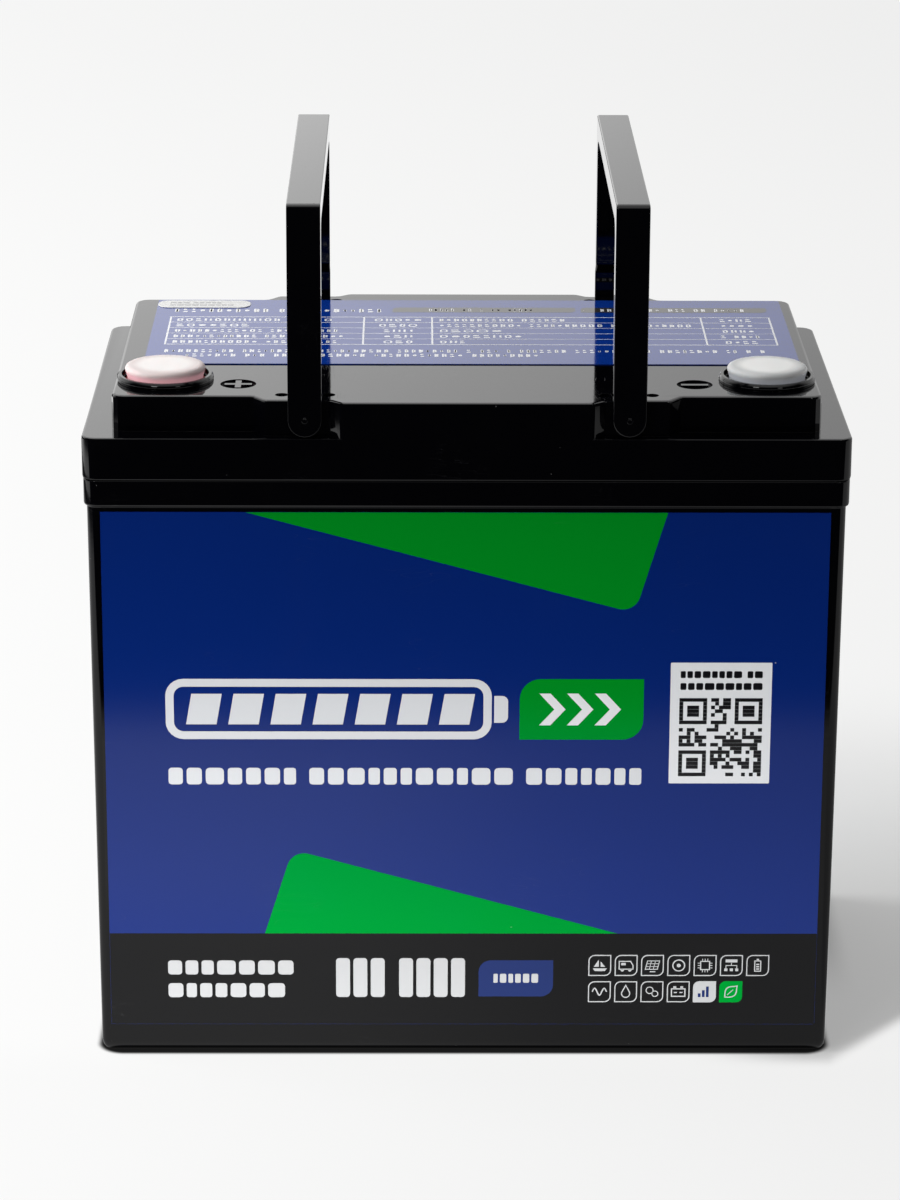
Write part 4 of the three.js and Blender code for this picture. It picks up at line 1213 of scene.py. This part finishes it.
def floor_mirrored(t, x, y, abs_x, gap):
    """Brightness in the glossy faces: the lit area ends a little way in front and at the left."""
    rightness = t.ramp(x, over=(-0.11, 0.11))
    near = t.ramp(rightness, over=(0.0, 1.0), to=(0.58, 0.36))
    further = t.ramp(rightness, over=(0.0, 1.0), to=(0.73, 0.37))
    front = t.add(near, t.mul(t.ramp(y, over=(-0.14, -0.23)), t.sub(further, near)))
    far = t.length(x, y)
    left = t.ramp(far, over=(0.62, 0.70), to=(0.62, 0.03))
    band = t.mul(t.ramp(far, over=(0.725, 0.745)), t.ramp(far, over=(0.90, 0.80), to=(0.0, 1.10)))
    left = t.add(left, band)
    right = t.ramp(far, over=(0.15, 0.60), to=(0.26, 0.36))
    sides = t.add(t.mul(t.invert(rightness), left), t.mul(rightness, right))
    aside = t.ramp(abs_x, over=(0.118, 0.16))
    ahead = t.ramp(y, over=(-0.03, -0.07))
    dark_rear = t.mul(t.ramp(y, over=(0.03, 0.07)), t.ramp(y, over=(0.80, 0.72)))
    dark_rear = t.mul(dark_rear, t.ramp(y, over=(0.345, 0.395), to=(0.50, 0.99)))
    lit = t.choose(ahead, front, t.invert(dark_rear))
    lit = t.add(t.mul(t.invert(aside), lit), t.mul(aside, sides))
    lit = t.mul(lit, t.invert(t.ramp(y, over=(-0.345, -0.395))))
    lit = t.at_least(lit, 0.008)
    # Painted contact shadow in the mirrored floor, close to the foot.
    painted_contact_shade = t.ramp(gap, over=(0.0086, 0.0066))
    return t.mul(lit, t.ramp(painted_contact_shade, over=(0.0, 1.0), to=(1.0, 0.05)))


def floor_material():
    """Matt paper, with its glow set apart for direct, scattered and mirrored rays."""
    t = new_material("floor_pale")
    position = t.node("NewGeometry").outputs["Position"]
    x, y, _ = t.xyz(position)
    rays = t.node("LightPath")
    abs_x, abs_y = t.math("ABSOLUTE", x), t.math("ABSOLUTE", y)
    gap = t.length(t.at_least(t.sub(abs_x, FOOT_X), 0.0), t.at_least(t.sub(abs_y, FOOT_Y), 0.0))
    painted_contact_shade = t.ramp(gap, over=(0.0098, 0.0066))  # painted contact shadow: a dark line where the foot meets the floor
    tone = t.mix(t.noise(position, scale=60.0), (0.80, 0.805, 0.80), (0.82, 0.825, 0.82))
    paper = t.node("BsdfDiffuse")
    # The paper's colour is darkened there as well: a painted contact shadow.
    t.link(t.mix(painted_contact_shade, tone, (0.02, 0.02, 0.02)), paper.inputs[0])
    level = t.choose(rays.outputs["Is Diffuse Ray"], floor_thrown(t, x, y, abs_y, painted_contact_shade),
                     floor_seen(t, x, y, painted_contact_shade))
    glow = t.emission((1.0, 1.0, 0.997), level)
    glow_share = t.ramp(floor_shade(t, x, y), over=(0.0, 1.0), to=(0.93, 0.34))
    surface = t.mix_shader(glow_share, paper.outputs[0], glow)
    mirror = t.emission((1.0, 1.0, 1.0), floor_mirrored(t, x, y, abs_x, gap))
    surface = t.mix_shader(rays.outputs["Is Glossy Ray"], surface, mirror)
    t.link(surface, t.output.inputs[0])
    return t.owner


def build_floor():
    bm = bmesh.new()
    corners = ((-1, -1), (1, -1), (1, 1), (-1, 1))
    bm.faces.new([bm.verts.new((x * FLOOR_HALF, y * FLOOR_HALF, 0.0)) for x, y in corners])
    add_object("floor", bm, floor_material())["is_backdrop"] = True


build_floor()


# ------------------------------------------------------------------ world, lights, camera
def build_world():
    """Bright backdrop behind and above; the camera sees an even pale tone."""
    scene.world = bpy.data.worlds.new("studio")
    t = Shader(scene.world, "OutputWorld")
    x, y, z = t.xyz(t.node("TexCoord").outputs["Generated"])
    behind = t.ramp(y, over=(-0.10, 0.45))
    above = t.ramp(z, over=(0.55, 0.95))
    side = t.ramp(x, over=(-0.14, 0.14), to=(1.40, 0.80))
    low = t.ramp(z, over=(0.17, 0.26), to=(1.13, 1.0))
    level = t.mul(behind, t.mul(side, low))
    level = t.at_least(level, t.mul(above, 0.9))
    level = t.at_least(level, 0.010)
    rays = t.node("LightPath")
    # Scattered light is weaker than the backdrop looks, most of all from the right and the front.
    scattered = t.mul(t.ramp(x, over=(-0.6, 0.7), to=(1.0, 0.30)),
                      t.ramp(y, over=(-0.5, 0.0), to=(0.15, 0.62)))
    unseen = t.choose(rays.outputs["Is Diffuse Ray"], scattered, level)
    background = t.node("Background")
    background.inputs[0].default_value = (1.0, 1.0, 0.998, 1.0)
    t.put(background.inputs[1], t.choose(rays.outputs["Is Camera Ray"], 0.93, unseen))
    t.link(background.outputs[0], t.output.inputs[0])


# Name, place, aim, size in metres, power in watts, whether glossy faces mirror it.
SOFTBOXES = (
    ("key_front", (-0.75, -1.35, 1.35), (0, 0, 0.10), (0.42, 0.34), 2.6, True),
    ("fill_front", (0.9, -1.5, 1.1), (0, 0, 0.10), (0.34, 0.30), 0.7, True),
    ("side_left", (-1.35, 0.10, 0.95), (0.05, 0.05, 0.02), (1.0, 1.2), 26.0, False),
    ("near_left", (-0.50, -0.55, 0.42), (-0.03, -0.06, 0.11), (0.30, 0.30), 1.25, False),
)


def softbox(name, place, aim, size, power, mirrored):
    light = bpy.data.lights.new(name, "AREA")
    light.shape = "RECTANGLE"
    light.size, light.size_y = size
    light.energy = power
    made = bpy.data.objects.new(name, light)
    scene.collection.objects.link(made)
    made.location = place
    made.rotation_euler = (Vector(aim) - Vector(place)).to_track_quat("-Z", "Y").to_euler()
    made.visible_glossy = mirrored


def build_camera():
    """Long lens in front of the battery, looking down at it."""
    place_mm = Vector((-15.3, -1259.8, 529.3))
    down, yaw, roll = math.radians(17.737), math.radians(0.50), math.radians(0.23)
    camera = bpy.data.cameras.new("camera")
    camera.sensor_width = 36.0
    camera.lens = 125.22
    camera.clip_start = 0.01
    camera.clip_end = 60.0
    made = bpy.data.objects.new("camera", camera)
    scene.collection.objects.link(made)
    view = Vector((math.sin(yaw) * math.cos(down), math.cos(yaw) * math.cos(down),
                   -math.sin(down)))
    right = view.cross(Vector((0, 0, 1))).normalized()
    up = right.cross(view)
    rolled_right = right * math.cos(roll) + up * math.sin(roll)
    rolled_up = -right * math.sin(roll) + up * math.cos(roll)
    matrix = Matrix((rolled_right, rolled_up, -view)).transposed().to_4x4()
    matrix.translation = place_mm * MM
    made.matrix_world = matrix
    scene.camera = made


build_world()
for row in SOFTBOXES:
    softbox(*row)
build_camera()
scene.view_settings.view_transform = "Standard"
scene.view_settings.look = "None"

sizes = {"cad": cad_box, "visual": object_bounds()}
{key: [list(map(float, v)) for v in box] for key, box in sizes.items()}
